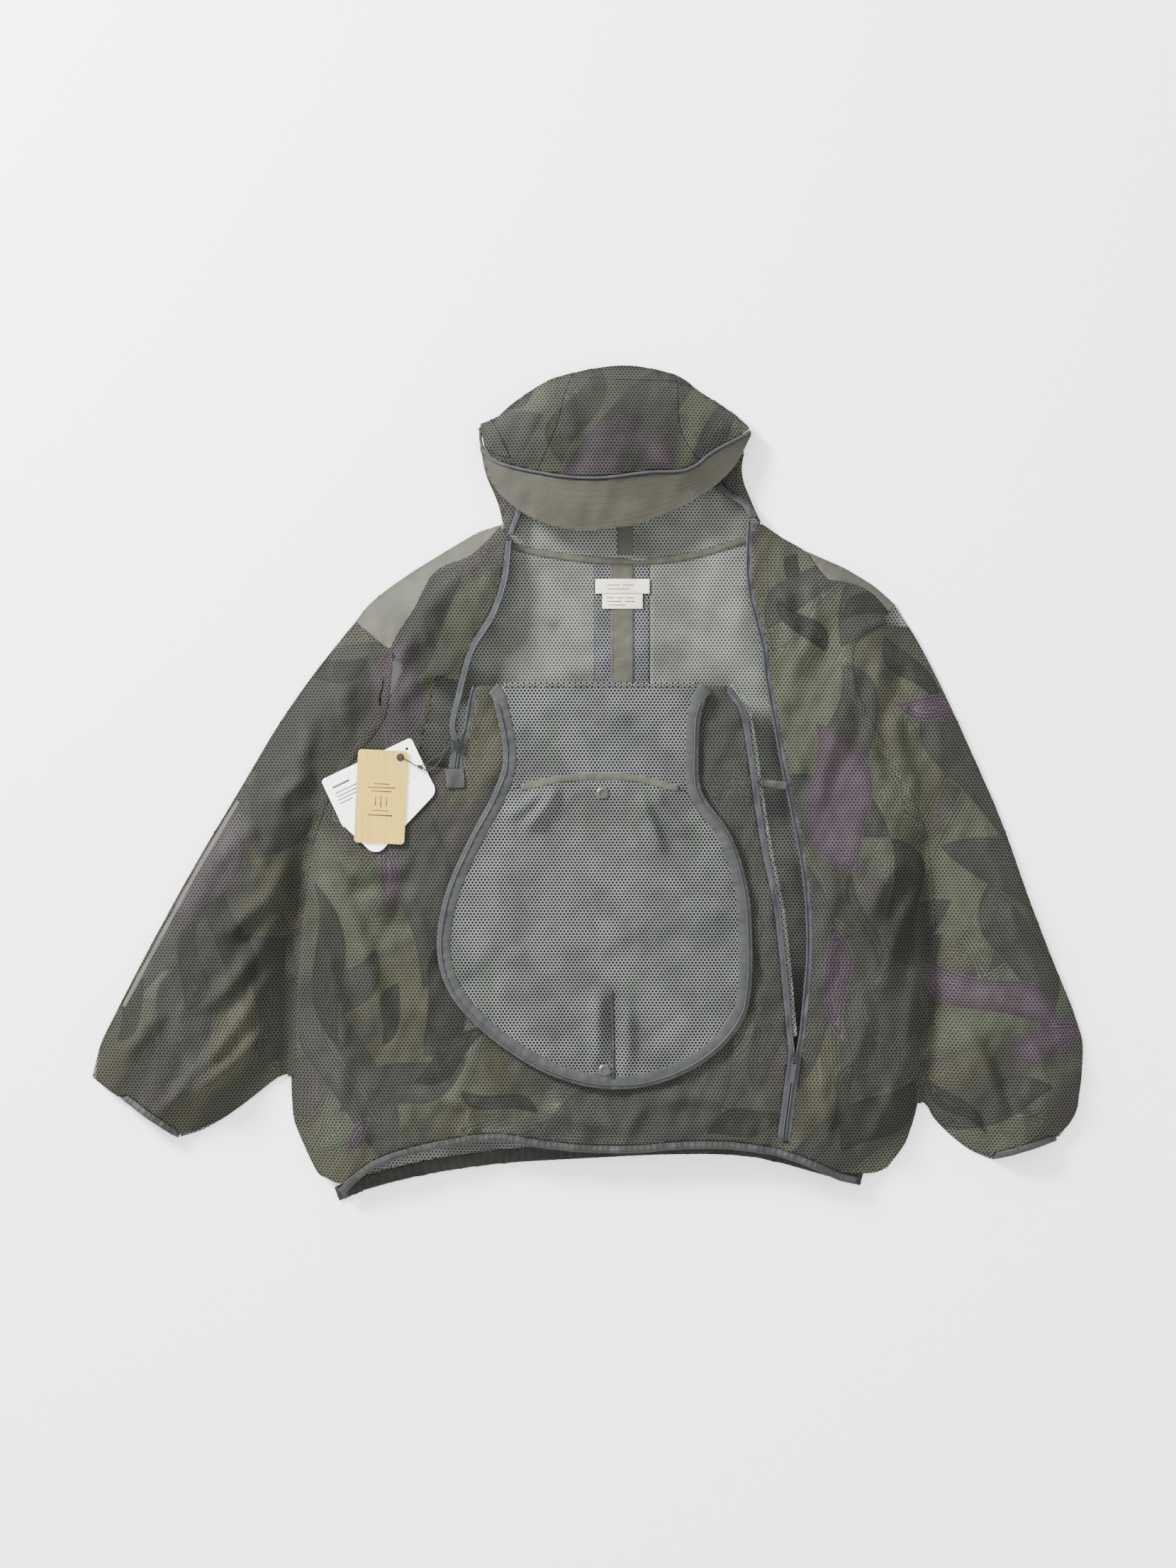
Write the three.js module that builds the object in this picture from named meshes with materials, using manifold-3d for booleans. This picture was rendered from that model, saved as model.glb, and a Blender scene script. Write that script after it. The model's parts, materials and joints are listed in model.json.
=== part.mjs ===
// A hooded beekeeping jacket of printed mesh, laid flat with its front up. Its brimmed hood lies above the
// neck, the two front zips are open, and the face veil is unzipped and folded down over the chest.
// Millimetres, +Z up from the surface that it lies on, +Y towards the hood. Left and right are those of
// somebody who looks down at it.
import * as THREE from "three";
import { mergeVertices } from "three/addons/utils/BufferGeometryUtils.js";
import Module from "manifold-3d";

const wasm = await Module();
wasm.setup();

// ---- Driving dimensions ----
const OVERALL_WIDTH = 1082; // over both sleeves
const OVERALL_LENGTH = 911; // crown of the hood to the lowest corner of the hem
const CLOTH = 1.2; // thickness of the mesh and nylon cloth
const CLEARANCE = 0.4; // between pieces that touch
const BODY_LOFT = 24; // how far the front stands off the back
const EDGE_RUN = 55; // from a closed edge to where the cloth has its full loft
const CUFF_HEIGHT = 15; // inside height of the gathered cuffs
const BINDING_WIDTH = 8; // elastic binding at hem and cuffs
const CASING_WIDTH = 15; // gathered casing inside the back hem
const TAPE_WIDTH = 7; // zip tape, from the coil's outer edge
const COIL_WIDTH = 2.4;
const COIL_HEIGHT = 1.8;
const SLIDER_LENGTH = 12;
const SLIDER_WALL = 1;
const PULL_WIRE = 1.1;
const UNDERFLAP_REACH = 9; // the flap behind the right zip shows this much beside the coil
const NECK_TAPE_WIDTH = 7.5;
const TAPE_THICKNESS = 0.8;
const BACK_TAPE_WIDTH = 25.5;
const GUSSET_WIDTH = 60;
const LABEL_THICKNESS = 0.5;
const VEIL_LIFT = 4; // the folded veil above the front
const VEIL_BINDING_WIDTH = 9;
const SNAP_RADIUS = 6.6;
const SNAP_HEIGHT = 2.2;
const HOOD_HEIGHT = 47; // brim seam above the surface, in the middle
const HOOD_TIP_HEIGHT = 10; // the same at the two tips of the brim
const BRIM_SLOPE = 13; // the brim's free edge lies this much lower than its seam
const CROWN_BULGE = 12;
const PIPING_WIDTH = 3.4;
const CARD_THICKNESS = 0.5;
const WOOD_THICKNESS = 1.6;
const EYELET_RADIUS = 4.3;
const CORD_DIAMETER = 1.3;
const BRAND_LABEL_WIDTH = 59;
const CARE_LABEL_WIDTH = 44;
const LABEL_LENGTH = 16;
const PATCH_WIDTH = 20; // over the end of the left zip
const PATCH_LENGTH = 21;
const PATCH_TURN = 0.05; // radians
const STOP_WIDTH = 5; // at the bottom of the right zip
const STOP_LENGTH = 3;
const STOP_HEIGHT = 1;
const CUFF_END_WIDTH = 5; // where a cuff binding turns from the front to the back
const CUFF_END_INSET = 3;
const CUFF_END_HEIGHT = 4.5;
const VEIL_COIL_INSET = 0.6;
const SEAM_TAPE_WIDTH = 8;
const SNAP_FLANGE = 0.9;
const PIPING_DROP = 0.4; // below the brim seam
const PIPING_RISE = 1.2; // above the cloth
const HOOD_TAPE_WIDTH = 17;
const HOOD_SIDE_LOFT = 11; // beside the face opening, at the neck
const HOOD_SIDE_TIP_LOFT = 4; // the same at the tip of the brim
const TEXT_CARD = [108, 58]; // length and width
const PLAIN_CARD = [100, 62];
const WOOD_TAG = [101, 54.5];
const CARD_HOLE_RADIUS = 1.6;
const EYELET_FLANGE = 1.6;
const EYELET_WALL = 1;
const EYELET_HEIGHT = 1.1; // above the tag
const SEAL_LENGTH = 6.4;
const SEAL_WIDTH = 3.2;
const SEAL_OVER_CORD = 1.6; // above the cord's middle

// ---- Plan of the garment ----
// The pattern below is drawn at these sizes and is stretched to the overall ones.
const PATTERN_WIDTH = 1082;
const PATTERN_LENGTH = 911;
const at = (x, y) => new THREE.Vector2(
  (x * OVERALL_WIDTH) / PATTERN_WIDTH,
  (y * OVERALL_LENGTH) / PATTERN_LENGTH,
);
const points = (list) => list.map(([x, y]) => at(x, y));
const smooth = (list, n) => new THREE.SplineCurve(points(list)).getSpacedPoints(n);
const backwards = (line) => [...line].reverse();

// Closed edges, where the front is sewn to or folds over into the back.
const leftShoulder = points([[-95, 281], [-118, 275], [-151, 255], [-184, 235], [-214, 215], [-239, 195],
  [-254, 175]]);
const leftSleeveOuter = smooth([[-254, 175], [-302, 115], [-343, 55], [-378, -5], [-426, -85],
  [-481, -185], [-522, -265], [-541, -306], [-537, -326], [-510, -343]], 16);
const leftSleeveInner = smooth([[-304, -64], [-316, -112], [-325, -197], [-326, -257], [-329, -312],
  [-347, -328],
  [-369, -346], [-397, -366], [-430, -384], [-447, -387]], 14);
const leftSide = smooth([[-301, -62], [-311, -112], [-320, -197], [-322, -257], [-323, -318], [-322, -365],
  [-305, -405], [-285, -445], [-271, -456]], 12);
const leftArmhole = smooth([[-254, 175], [-215, 144], [-200, 127], [-209, 103], [-225, 68], [-243, 45],
  [-277, 0], [-302, -62]], 12);
const rightShoulder = points([[191, 281], [199, 275], [233, 255], [280, 235], [313, 215], [335, 195],
  [343, 183]]);
const rightSleeveOuter = smooth([[343, 183], [371, 135], [400, 75], [427, 15], [453, -45], [481, -125],
  [512, -205], [537, -265], [541, -290], [537, -340], [529, -372], [512, -390]], 16);
const rightSleeveInner = smooth([[369, -62], [378, -110], [381, -184], [382, -251], [366, -345], [375, -364],
  [396, -385], [421, -404], [441, -411]], 14);
const rightSide = smooth([[366, -60], [373, -110], [376, -184], [376, -251], [361, -345], [352, -380],
  [340, -406], [318, -428], [297, -439]], 12);
const rightArmhole = smooth([[343, 183], [302, 169], [284, 146], [290, 95], [318, 40], [345, -5],
  [367, -60]], 12);

// Free edges. Hems run from left to right, zips from the neck down.
const frontHem = smooth([[-269, -452], [-249, -431], [-222, -413], [-181, -401], [-136, -392], [-95, -388],
  [-50, -396], [4, -401], [54, -401], [104, -397], [149, -397], [185, -401], [212, -406], [248, -420],
  [275, -433], [297, -438]], 24);
const backHem = smooth([[-271, -455], [-240, -443], [-181, -428], [-104, -416], [-14, -410], [100, -405],
  [180, -408], [248, -425], [297, -439]], 20);
const leftCuff = points([[-510, -343], [-447, -387]]);
const rightCuff = points([[441, -411], [512, -390]]);
// Where the sleeves fold up, from past the outer edge to past the armpit.
const leftSleeveFold = points([[-470, -2], [-270, -85]]);
const rightSleeveFold = points([[330, -71], [540, -21]]);
const neckSeam = smooth([[-92, 262], [-67, 254], [-38, 249], [-1, 244], [39, 242], [81, 243], [118, 249],
  [147, 257], [181, 268]], 14);
const FOLD_Y = at(0, 106).y; // where the front turns over into the veil
const leftZipTop = at(-139.2, 47);
const leftZipEnd = at(-143.5, 15);
const rightZipTop = at(225.5, -291);
const rightZipEnd = at(212.5, -388);
const PATCH_FROM_END = new THREE.Vector2(-0.1, -10);
const STOP_FROM_END = new THREE.Vector2(0, 2);
const leftZipOuterOpen = smooth([[-82, 265], [-86, 222], [-94, 195], [-103, 174], [-121, 147], [-131, 116],
  [-137, 90], [-142, 72], [-144, 60]], 14);
const leftZipInnerOpen = smooth([[-125, 105], [-129, 92], [-132, 72], [-134.5, 58]], 4);
const rightZipOuterOpen = smooth([[174, 284], [171, 246], [172, 213], [180, 178], [188, 151], [191, 120],
  [198, 80], [209, 20], [222, -42], [232, -95], [236, -140], [237, -184], [233, -234], [229, -275]], 20);
const rightZipInnerOpen = smooth([[153, 105], [167, 92], [175, 66], [182, 20], [189, -30], [197, -80],
  [208, -130], [214, -180], [219, -230], [223, -275]], 14);
const leftYokeSeam = smooth([[-90, 284], [-105, 267], [-125, 247], [-142, 240], [-159, 236], [-171, 224],
  [-186, 191], [-200, 170], [-216, 143]], 12);
const rightYokeSeam = smooth([[239, 254], [249, 238], [258, 223], [273, 219], [288, 217], [302, 212],
  [315, 203], [327, 187], [340, 172]], 10);

// The veil's outline, from the left end of the fold down round the face net and back up.
const veilEdge = smooth([[-103, 104], [-98, 85], [-90, 48], [-88, 25], [-91, 7], [-99, -9], [-107, -28],
  [-119, -47], [-131, -72], [-143, -97], [-153, -125], [-159, -153], [-161, -182], [-156, -208],
  [-146, -230], [-130, -250],
  [-107, -272], [-81, -291], [-55, -307], [-30, -318], [-2, -326], [26, -329], [54, -328], [83, -321],
  [109, -310], [134, -294], [154, -274], [170, -249], [175, -219], [176, -188], [175, -156], [173, -125],
  [167, -97], [157, -66], [143, -40], [127, -24], [119, -9], [117, 16], [118, 41], [118, 64], [123, 86],
  [130, 104]], 60);
const veilSeam = smooth([[-93, -11], [-34, 4], [13, 7], [60, 4], [118, -14]], 10);
const UPPER_SNAP = at(16, -11);
const LOWER_SNAP = at(18, -311);

// The hood. All three run from its left tip to its right tip.
const brimSeam = smooth([[-116, 388], [-117, 374], [-112, 358], [-98, 347], [-75, 340], [-51, 335],
  [-28, 331],
  [1, 329], [27, 330], [55, 334], [78, 336], [102, 337], [117, 343], [133, 357], [152, 368], [168, 377],
  [177, 383]], 24);
const brimEdge = smooth([[-115, 366], [-114, 352], [-108, 330], [-94, 311], [-70, 292], [-46, 280],
  [-23, 274], [1, 272], [24, 275], [48, 278], [78, 288], [109, 302], [137, 321], [160, 343], [170, 362],
  [177, 376]], 24);
const crownEdge = smooth([[-116, 392], [-98, 398], [-84, 412], [-63, 427], [-39, 441], [-4, 450], [20, 454],
  [48, 455], [74, 451], [102, 443], [121, 427], [149, 410], [170, 394], [178, 387]], 24);
const leftCrownSeam = smooth([[-14, 452], [-25, 420], [-30, 396], [-39, 370], [-51, 344], [-57, 328]], 8);
const rightCrownSeam = smooth([[94, 462], [99, 424], [98, 400], [104, 372], [121, 349], [128, 335]], 8);
const topCrownSeam = smooth([[-22, 443], [20, 438], [60, 437], [97, 436]], 6);
const hoodLeft = smooth([[-93, 286], [-96, 300], [-103, 318], [-112, 337], [-116, 362]], 5);
const hoodLeftZip = smooth([[-81, 269], [-76, 282], [-69, 298], [-76, 318], [-92, 340]], 5);
const hoodRight = smooth([[189, 285], [181, 301], [174, 318], [167, 338], [171, 360]], 5);
const hoodRightZip = smooth([[174, 288], [172, 300], [160, 307], [148, 312], [140, 325]], 5);

// ---- Heights ----
const SEWN_HEIGHT = CLOTH + CLEARANCE; // underside of the front where it meets the back
const FRONT_TOP = SEWN_HEIGHT + BODY_LOFT + CLOTH; // top of the front at its full loft
const COIL_TOP = FRONT_TOP + COIL_HEIGHT;
const STITCHED = 0.1; // how far a sewn-on piece sinks into the one under it

const closedEdges = [leftShoulder, leftSleeveOuter, leftSleeveInner, leftSide,
  rightShoulder, rightSleeveOuter, rightSleeveInner, rightSide];

function distanceTo(line, p) {
  let least = Infinity;
  for (let i = 1; i < line.length; i++) {
    const a = line[i - 1];
    const along = line[i].clone().sub(a);
    const t = THREE.MathUtils.clamp(p.clone().sub(a).dot(along) / along.lengthSq(), 0, 1);
    least = Math.min(least, p.distanceTo(a.clone().addScaledVector(along, t)));
  }
  return least;
}

// Height of the front's underside: it rises in a quarter round from every closed edge.
function frontHeight(x, y) {
  const p = new THREE.Vector2(x, y);
  const inward = Math.min(...closedEdges.map((edge) => distanceTo(edge, p)));
  const rise = BODY_LOFT * Math.sin((Math.PI / 2) * Math.min(1, inward / EDGE_RUN));
  const toCuff = Math.min(distanceTo(leftCuff, p), distanceTo(rightCuff, p));
  return SEWN_HEIGHT + Math.min(rise, CUFF_HEIGHT + toCuff / 4);
}

// ---- Solids ----
function solidOf(geometry) {
  geometry.deleteAttribute("normal");
  geometry.deleteAttribute("uv");
  const merged = mergeVertices(geometry, 1e-3);
  return new wasm.Manifold(new wasm.Mesh({
    numProp: 3,
    vertProperties: merged.attributes.position.array,
    triVerts: new Uint32Array(merged.index.array),
  }));
}

function geometryOf(solid) {
  const { vertProperties, triVerts } = solid.getMesh();
  const geometry = new THREE.BufferGeometry();
  geometry.setAttribute("position", new THREE.BufferAttribute(vertProperties, 3));
  geometry.setIndex(new THREE.BufferAttribute(triVerts, 1));
  return geometry;
}

// A sheet of cloth between two edges with the same number of points. Each row runs from one edge to the
// other through the given shares of its length. height(x, y, along, across) is that of its underside.
function sheet(edgeA, edgeB, shares, height, thickness) {
  const rows = edgeA.length;
  const columns = shares.length;
  const position = [];
  for (const lift of [0, thickness])
    for (let i = 0; i < rows; i++)
      for (const share of shares) {
        const p = edgeA[i].clone().lerp(edgeB[i], share);
        position.push(p.x, p.y, height(p.x, p.y, i / (rows - 1), share) + lift);
      }
  const index = [];
  const vertex = (i, j, top) => (top * rows + i) * columns + j;
  const quad = (a, b, c, d) => index.push(a, b, c, a, c, d);
  for (let i = 0; i < rows - 1; i++)
    for (let j = 0; j < columns - 1; j++) {
      quad(vertex(i, j, 1), vertex(i + 1, j, 1), vertex(i + 1, j + 1, 1), vertex(i, j + 1, 1));
      quad(vertex(i, j, 0), vertex(i, j + 1, 0), vertex(i + 1, j + 1, 0), vertex(i + 1, j, 0));
    }
  const lastRow = rows - 1;
  const lastColumn = columns - 1;
  for (let i = 0; i < lastRow; i++) {
    quad(vertex(i, 0, 0), vertex(i + 1, 0, 0), vertex(i + 1, 0, 1), vertex(i, 0, 1));
    quad(vertex(i, lastColumn, 0), vertex(i, lastColumn, 1), vertex(i + 1, lastColumn, 1),
      vertex(i + 1, lastColumn, 0));
  }
  for (let j = 0; j < lastColumn; j++) {
    quad(vertex(0, j, 0), vertex(0, j, 1), vertex(0, j + 1, 1), vertex(0, j + 1, 0));
    quad(vertex(lastRow, j, 0), vertex(lastRow, j + 1, 0), vertex(lastRow, j + 1, 1), vertex(lastRow, j, 1));
  }
  const geometry = new THREE.BufferGeometry();
  geometry.setAttribute("position", new THREE.Float32BufferAttribute(position, 3));
  geometry.setIndex(index);
  const made = solidOf(geometry);
  if (made.volume() > 0) return made;
  geometry.setIndex(index.reverse());
  return solidOf(geometry);
}

// An upright prism over an outline, tall enough to cut through every layer unless told otherwise.
function prism(outline, bottom = -100, height = 400) {
  const shape = new THREE.Shape(outline);
  const geometry = new THREE.ExtrudeGeometry(shape, { depth: height, bevelEnabled: false });
  return solidOf(geometry.translate(0, 0, bottom));
}

// The line moved sideways, to its left for a positive distance.
function shifted(line, distance) {
  return line.map((p, i) => {
    const along = line[Math.min(i + 1, line.length - 1)].clone().sub(line[Math.max(i - 1, 0)]).normalize();
    return new THREE.Vector2(p.x - along.y * distance, p.y + along.x * distance);
  });
}

// The outline of a strip along a line, from one sideways distance to another.
const strip = (line, from, to) => [...shifted(line, from), ...shifted(line, to).reverse()];
const seamGap = (line) => prism(strip(line, -CLEARANCE / 2, CLEARANCE / 2));
const cutAway = (solid, ...cutters) => cutters.reduce((left, cutter) => left.subtract(cutter), solid);
const bySize = (solid) => solid.decompose().sort((a, b) => b.volume() - a.volume());
const largest = (solid) => bySize(solid)[0];

// ---- The front's three sheets: the body and the two sleeves ----
// Where a line first reaches a level, or its nearer end where it doesn't.
const crossing = (line, y) => {
  for (let i = 1; i < line.length; i++) {
    const [a, b] = [line[i - 1], line[i]];
    if ((a.y - y) * (b.y - y) > 0 || a.y === b.y) continue;
    const share = (y - a.y) / (b.y - a.y);
    return new THREE.Vector2(a.x + share * (b.x - a.x), y);
  }
  const end = y > line[0].y ? line[0] : line.at(-1);
  return new THREE.Vector2(end.x, y);
};
const levels = (list) => list.map((y) => at(0, y).y);
const bodyLevels = levels([300, 282, 266, 250, 232, 214, 194, 176, 160, 140, 122, 100, 70, 35, 0, -32, -62,
  -105, -160, -220, -280, -330, -365, -395, -425, -460]);
const bodyLeft = [...leftShoulder, ...leftArmhole.slice(1), ...leftSide.slice(1)];
const bodyRight = [...rightShoulder, ...rightArmhole.slice(1), ...rightSide.slice(1)];
const bodyShares = [0, 0.03, 0.07, 0.13, 0.22, 0.36, 0.5, 0.64, 0.78, 0.87, 0.93, 0.97, 1];
const sleeveLevels = levels([170, 150, 125, 95, 60, 20, -25, -65, -115, -170, -230, -285, -315, -340, -365,
  -388, -412]);
const sleeveShares = [0, 0.08, 0.2, 0.38, 0.62, 0.8, 0.92, 1];

function sheetByLevels(left, right, rows, shares, lift, thickness) {
  const edge = (line) => rows.map((y) => crossing(line, y));
  return sheet(edge(left), edge(right), shares, (x, y) => frontHeight(x, y) + lift, thickness);
}

const made = new Map(); // sheets that several pieces are cut from
function frontSheet(part, lift = 0, thickness = CLOTH) {
  const key = `${part} ${lift} ${thickness}`;
  if (!made.has(key)) {
    const [left, right, rows, shares] = {
      body: [bodyLeft, bodyRight, bodyLevels, bodyShares],
      leftSleeve: [[...leftSleeveOuter.slice(0, -2), at(-541, -360), at(-540, -412)],
        [...leftArmhole, ...leftSleeveInner.slice(1)], sleeveLevels, sleeveShares],
      rightSleeve: [[...rightArmhole, ...rightSleeveInner.slice(1)],
        [...rightSleeveOuter.slice(0, -1), at(529, -412)], sleeveLevels, sleeveShares],
    }[part];
    const cloth = sheetByLevels(left, right, rows, shares, lift, thickness);
    made.set(key, largest(cutAway(cloth, seamGap(leftArmhole), seamGap(rightArmhole))));
  }
  return made.get(key);
}

// ---- Materials ----
const material = (color, roughness, metalness = 0) =>
  new THREE.MeshStandardMaterial({ color, roughness, metalness });
const printedMesh = material(0x5c5f4c, 0.9);
const meshInside = material(0xa9b0a8, 0.9);
const nylon = material(0x85827a, 0.75);
const zipTape = material(0x5d666b, 0.8);
const zipCoil = material(0x4c545a, 0.45);
const zipMetal = material(0x3c4246, 0.4, 0.7);
const snapMetal = material(0x6b6d6c, 0.4, 0.6);
const labelCloth = material(0xe6e0cf, 0.85);
const bamboo = material(0xd8b070, 0.55);
const whiteCard = material(0xf4f4f2, 0.6);
const blackPlastic = material(0x17181a, 0.45);

const jacket = new THREE.Group();
function place(name, solid, finish) {
  const mesh = new THREE.Mesh(geometryOf(solid), finish);
  mesh.name = name;
  jacket.add(mesh);
}

// ---- Zips ----
// Each zip has two sides that lie side by side from its top to its end and part above.
const besideZip = (top, end, side) => {
  const across = end.clone().sub(top).normalize();
  const apart = new THREE.Vector2(-across.y, across.x).multiplyScalar((side * CLEARANCE) / 2);
  return [top.clone().add(apart), end.clone().add(apart)];
};
const leftZipOuter = [...leftZipOuterOpen, ...besideZip(leftZipTop, leftZipEnd, -1)];
const leftZipInner = [...leftZipInnerOpen, ...besideZip(leftZipTop, leftZipEnd, 1)];
const rightZipOuter = [...rightZipOuterOpen, ...besideZip(rightZipTop, rightZipEnd, 1)];
const rightZipInner = [...rightZipInnerOpen, ...besideZip(rightZipTop, rightZipEnd, -1)];

// A tape with its coil sewn along the edge. side is 1 where they lie to the line's left, -1 to its right.
function addZipSide(name, line, side) {
  const tape = frontSheet("body").intersect(prism(strip(line, 0, side * TAPE_WIDTH)));
  const coilCloth = frontSheet("body", CLOTH - STITCHED, COIL_HEIGHT + STITCHED);
  place(name, tape.add(coilCloth.intersect(prism(strip(line, side * 0.1, side * COIL_WIDTH)))), zipTape);
}

// What the cloth gives up to a zip side: the tape and everything up to the opening.
const tapeRoom = (line, side) => prism(strip(line, -side * 40, side * (TAPE_WIDTH + CLEARANCE)));

function addZips() {
  addZipSide("left_zip_outer", leftZipOuter, -1);
  addZipSide("left_zip_inner", leftZipInner, 1);
  addZipSide("right_zip_outer", rightZipOuter, 1);
  addZipSide("right_zip_inner", rightZipInner, -1);
  const flapLine = rightZipInner.slice(0, rightZipInnerOpen.length);
  const flapPlan = strip(flapLine, -UNDERFLAP_REACH, UNDERFLAP_REACH / 2);
  const flap = frontSheet("body", -CLOTH - CLEARANCE).intersect(prism(flapPlan));
  place("right_zip_underflap", largest(flap), meshInside);
  const onCoil = COIL_TOP + CLEARANCE;
  const patch = box2(leftZipEnd.clone().add(PATCH_FROM_END), PATCH_WIDTH, PATCH_LENGTH, PATCH_TURN);
  place("left_zip_end_patch", prism(patch, onCoil, TAPE_THICKNESS), nylon);
  const stop = box2(rightZipEnd.clone().add(STOP_FROM_END), STOP_WIDTH, STOP_LENGTH, 0);
  place("right_zip_bottom_stop", prism(stop, onCoil, STOP_HEIGHT), zipMetal);
}

// A rectangle in plan with its centre, size and turn.
function box2(centre, width, length, turn) {
  const zero = new THREE.Vector2();
  const half = new THREE.Vector2(width / 2, length / 2);
  const corner = (x, y) => new THREE.Vector2(x, y).multiply(half).rotateAround(zero, turn).add(centre);
  return [corner(-1, -1), corner(1, -1), corner(1, 1), corner(-1, 1)];
}

// ---- The back, which lies flat on the surface ----
const flat = (outline, height = 0, thickness = CLOTH) => prism(outline, height, thickness);
const across = (x) => at(x, 0).x;
const GUSSET_MIDDLE = across(38);
const gussetLine = (side) => [-480, 300].map((y) =>
  new THREE.Vector2(GUSSET_MIDDLE + (side * GUSSET_WIDTH) / 2, at(0, y).y));

function addBack() {
  const outline = [...leftShoulder, ...leftArmhole.slice(1), ...leftSide.slice(1), ...backHem.slice(1, -1),
    ...backwards(rightSide), ...backwards(rightArmhole).slice(1), ...backwards(rightShoulder).slice(1),
    ...backwards(neckSeam)];
  const gussetWidth = strip(gussetLine(0), -GUSSET_WIDTH / 2, GUSSET_WIDTH / 2);
  const casingRoom = prism(strip(backHem, -30, CASING_WIDTH + CLEARANCE));
  const seams = [leftArmhole, rightArmhole, neckSeam, gussetLine(-1), gussetLine(1)];
  const back = cutAway(flat(outline), casingRoom, ...seams.map(seamGap));
  const middle = prism(gussetWidth);
  const halves = bySize(back.subtract(middle)).slice(0, 2);
  const [leftHalf, rightHalf] = halves.sort((a, b) => a.boundingBox().min[0] - b.boundingBox().min[0]);
  place("back_left_panel", leftHalf, meshInside);
  place("back_right_panel", rightHalf, meshInside);
  place("back_centre_gusset", largest(back.intersect(middle)), meshInside);
  place("back_hem_casing", flat(outline).intersect(prism(strip(backHem, -10, CASING_WIDTH))), nylon);
  const neckTape = strip(neckSeam, -NECK_TAPE_WIDTH / 2, NECK_TAPE_WIDTH / 2);
  place("back_neck_tape", flat(neckTape, SEWN_HEIGHT, TAPE_THICKNESS), nylon);
  const tapeTop = at(0, 237).y;
  const tapeEnd = at(0, -380).y;
  const tapeMiddle = new THREE.Vector2(GUSSET_MIDDLE, (tapeTop + tapeEnd) / 2);
  const tapeOutline = box2(tapeMiddle, BACK_TAPE_WIDTH, tapeTop - tapeEnd, 0);
  place("back_centre_tape", flat(tapeOutline, SEWN_HEIGHT, TAPE_THICKNESS), nylon);
  const labelHeight = SEWN_HEIGHT + TAPE_THICKNESS + CLEARANCE;
  const brandLabel = new THREE.Vector2(GUSSET_MIDDLE, at(0, 214.5).y);
  const careLabel = new THREE.Vector2(GUSSET_MIDDLE, brandLabel.y - LABEL_LENGTH - 0.5);
  const label = (centre, width) => flat(box2(centre, width, LABEL_LENGTH, 0), labelHeight, LABEL_THICKNESS);
  place("brand_label", label(brandLabel, BRAND_LABEL_WIDTH), labelCloth);
  place("care_label", label(careLabel, CARE_LABEL_WIDTH), labelCloth);
}

// ---- The front ----
const body = () => frontSheet("body");
const aboveShoulders = (left, right, level) =>
  prism([at(left, level), at(right, level), at(right, 400), at(left, 400)]);

function addFront() {
  const farLeft = across(-700);
  const farRight = across(700);
  const low = at(0, -600).y;
  const panelOutline = [...leftZipOuter, ...backwards(leftZipInner), ...rightZipInner, at(212, -600),
    new THREE.Vector2(farLeft, low), new THREE.Vector2(farLeft, at(0, 300).y), leftYokeSeam[0]];
  const hemRoom = prism(strip(frontHem, -120, BINDING_WIDTH + CLEARANCE));
  const leftYokeRoom = prism([...leftYokeSeam, at(-300, 100), at(-400, 300), at(-200, 400), at(-60, 340)]);
  const rightYokeRoom = prism([...rightYokeSeam, at(400, 120), at(480, 300), at(250, 330)]);
  const leftNeckRoom = prism([at(-101, 283), at(-83, 266), at(-60, 266), at(-60, 340), at(-101, 340)]);
  const belowLeftZip = leftZipEnd.clone().add(new THREE.Vector2(0, -CLEARANCE));
  const underLeftZip = prism(box2(belowLeftZip, 2 * TAPE_WIDTH, 2 * CLEARANCE, 0));
  const besideLeftZip = prism([...leftZipOuter, at(-143.5, 0), at(-300, 0), at(-300, 300), at(-82, 300)]);
  const leftTapeRoom = tapeRoom(leftZipOuter, -1).intersect(besideLeftZip);
  const frontPanel = cutAway(body().intersect(prism(panelOutline)), hemRoom, leftYokeRoom,
    seamGap(leftYokeSeam), leftTapeRoom, tapeRoom(leftZipInner, 1), tapeRoom(rightZipInner, -1),
    underLeftZip, leftNeckRoom);
  place("front_panel", largest(frontPanel), printedMesh);
  const rightOutline = [...rightZipOuter, at(212, -600), new THREE.Vector2(farRight, low),
    new THREE.Vector2(farRight, at(0, 400).y), at(174, 400)];
  const rightPanel = cutAway(body().intersect(prism(rightOutline)), hemRoom, rightYokeRoom,
    seamGap(rightYokeSeam), tapeRoom(rightZipOuter, 1), aboveShoulders(100, 260, 282));
  place("front_right_panel", largest(rightPanel), printedMesh);
  const leftYoke = cutAway(body().intersect(leftYokeRoom), seamGap(leftYokeSeam),
    aboveShoulders(-200, 0, 282));
  place("left_shoulder_yoke", largest(leftYoke), nylon);
  const rightYoke = cutAway(body().intersect(rightYokeRoom), seamGap(rightYokeSeam));
  place("right_shoulder_yoke", largest(rightYoke), nylon);
  const hemBinding = body().intersect(prism(strip(frontHem, 0, BINDING_WIDTH)));
  place("front_hem_binding", largest(hemBinding), nylon);
}

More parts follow.
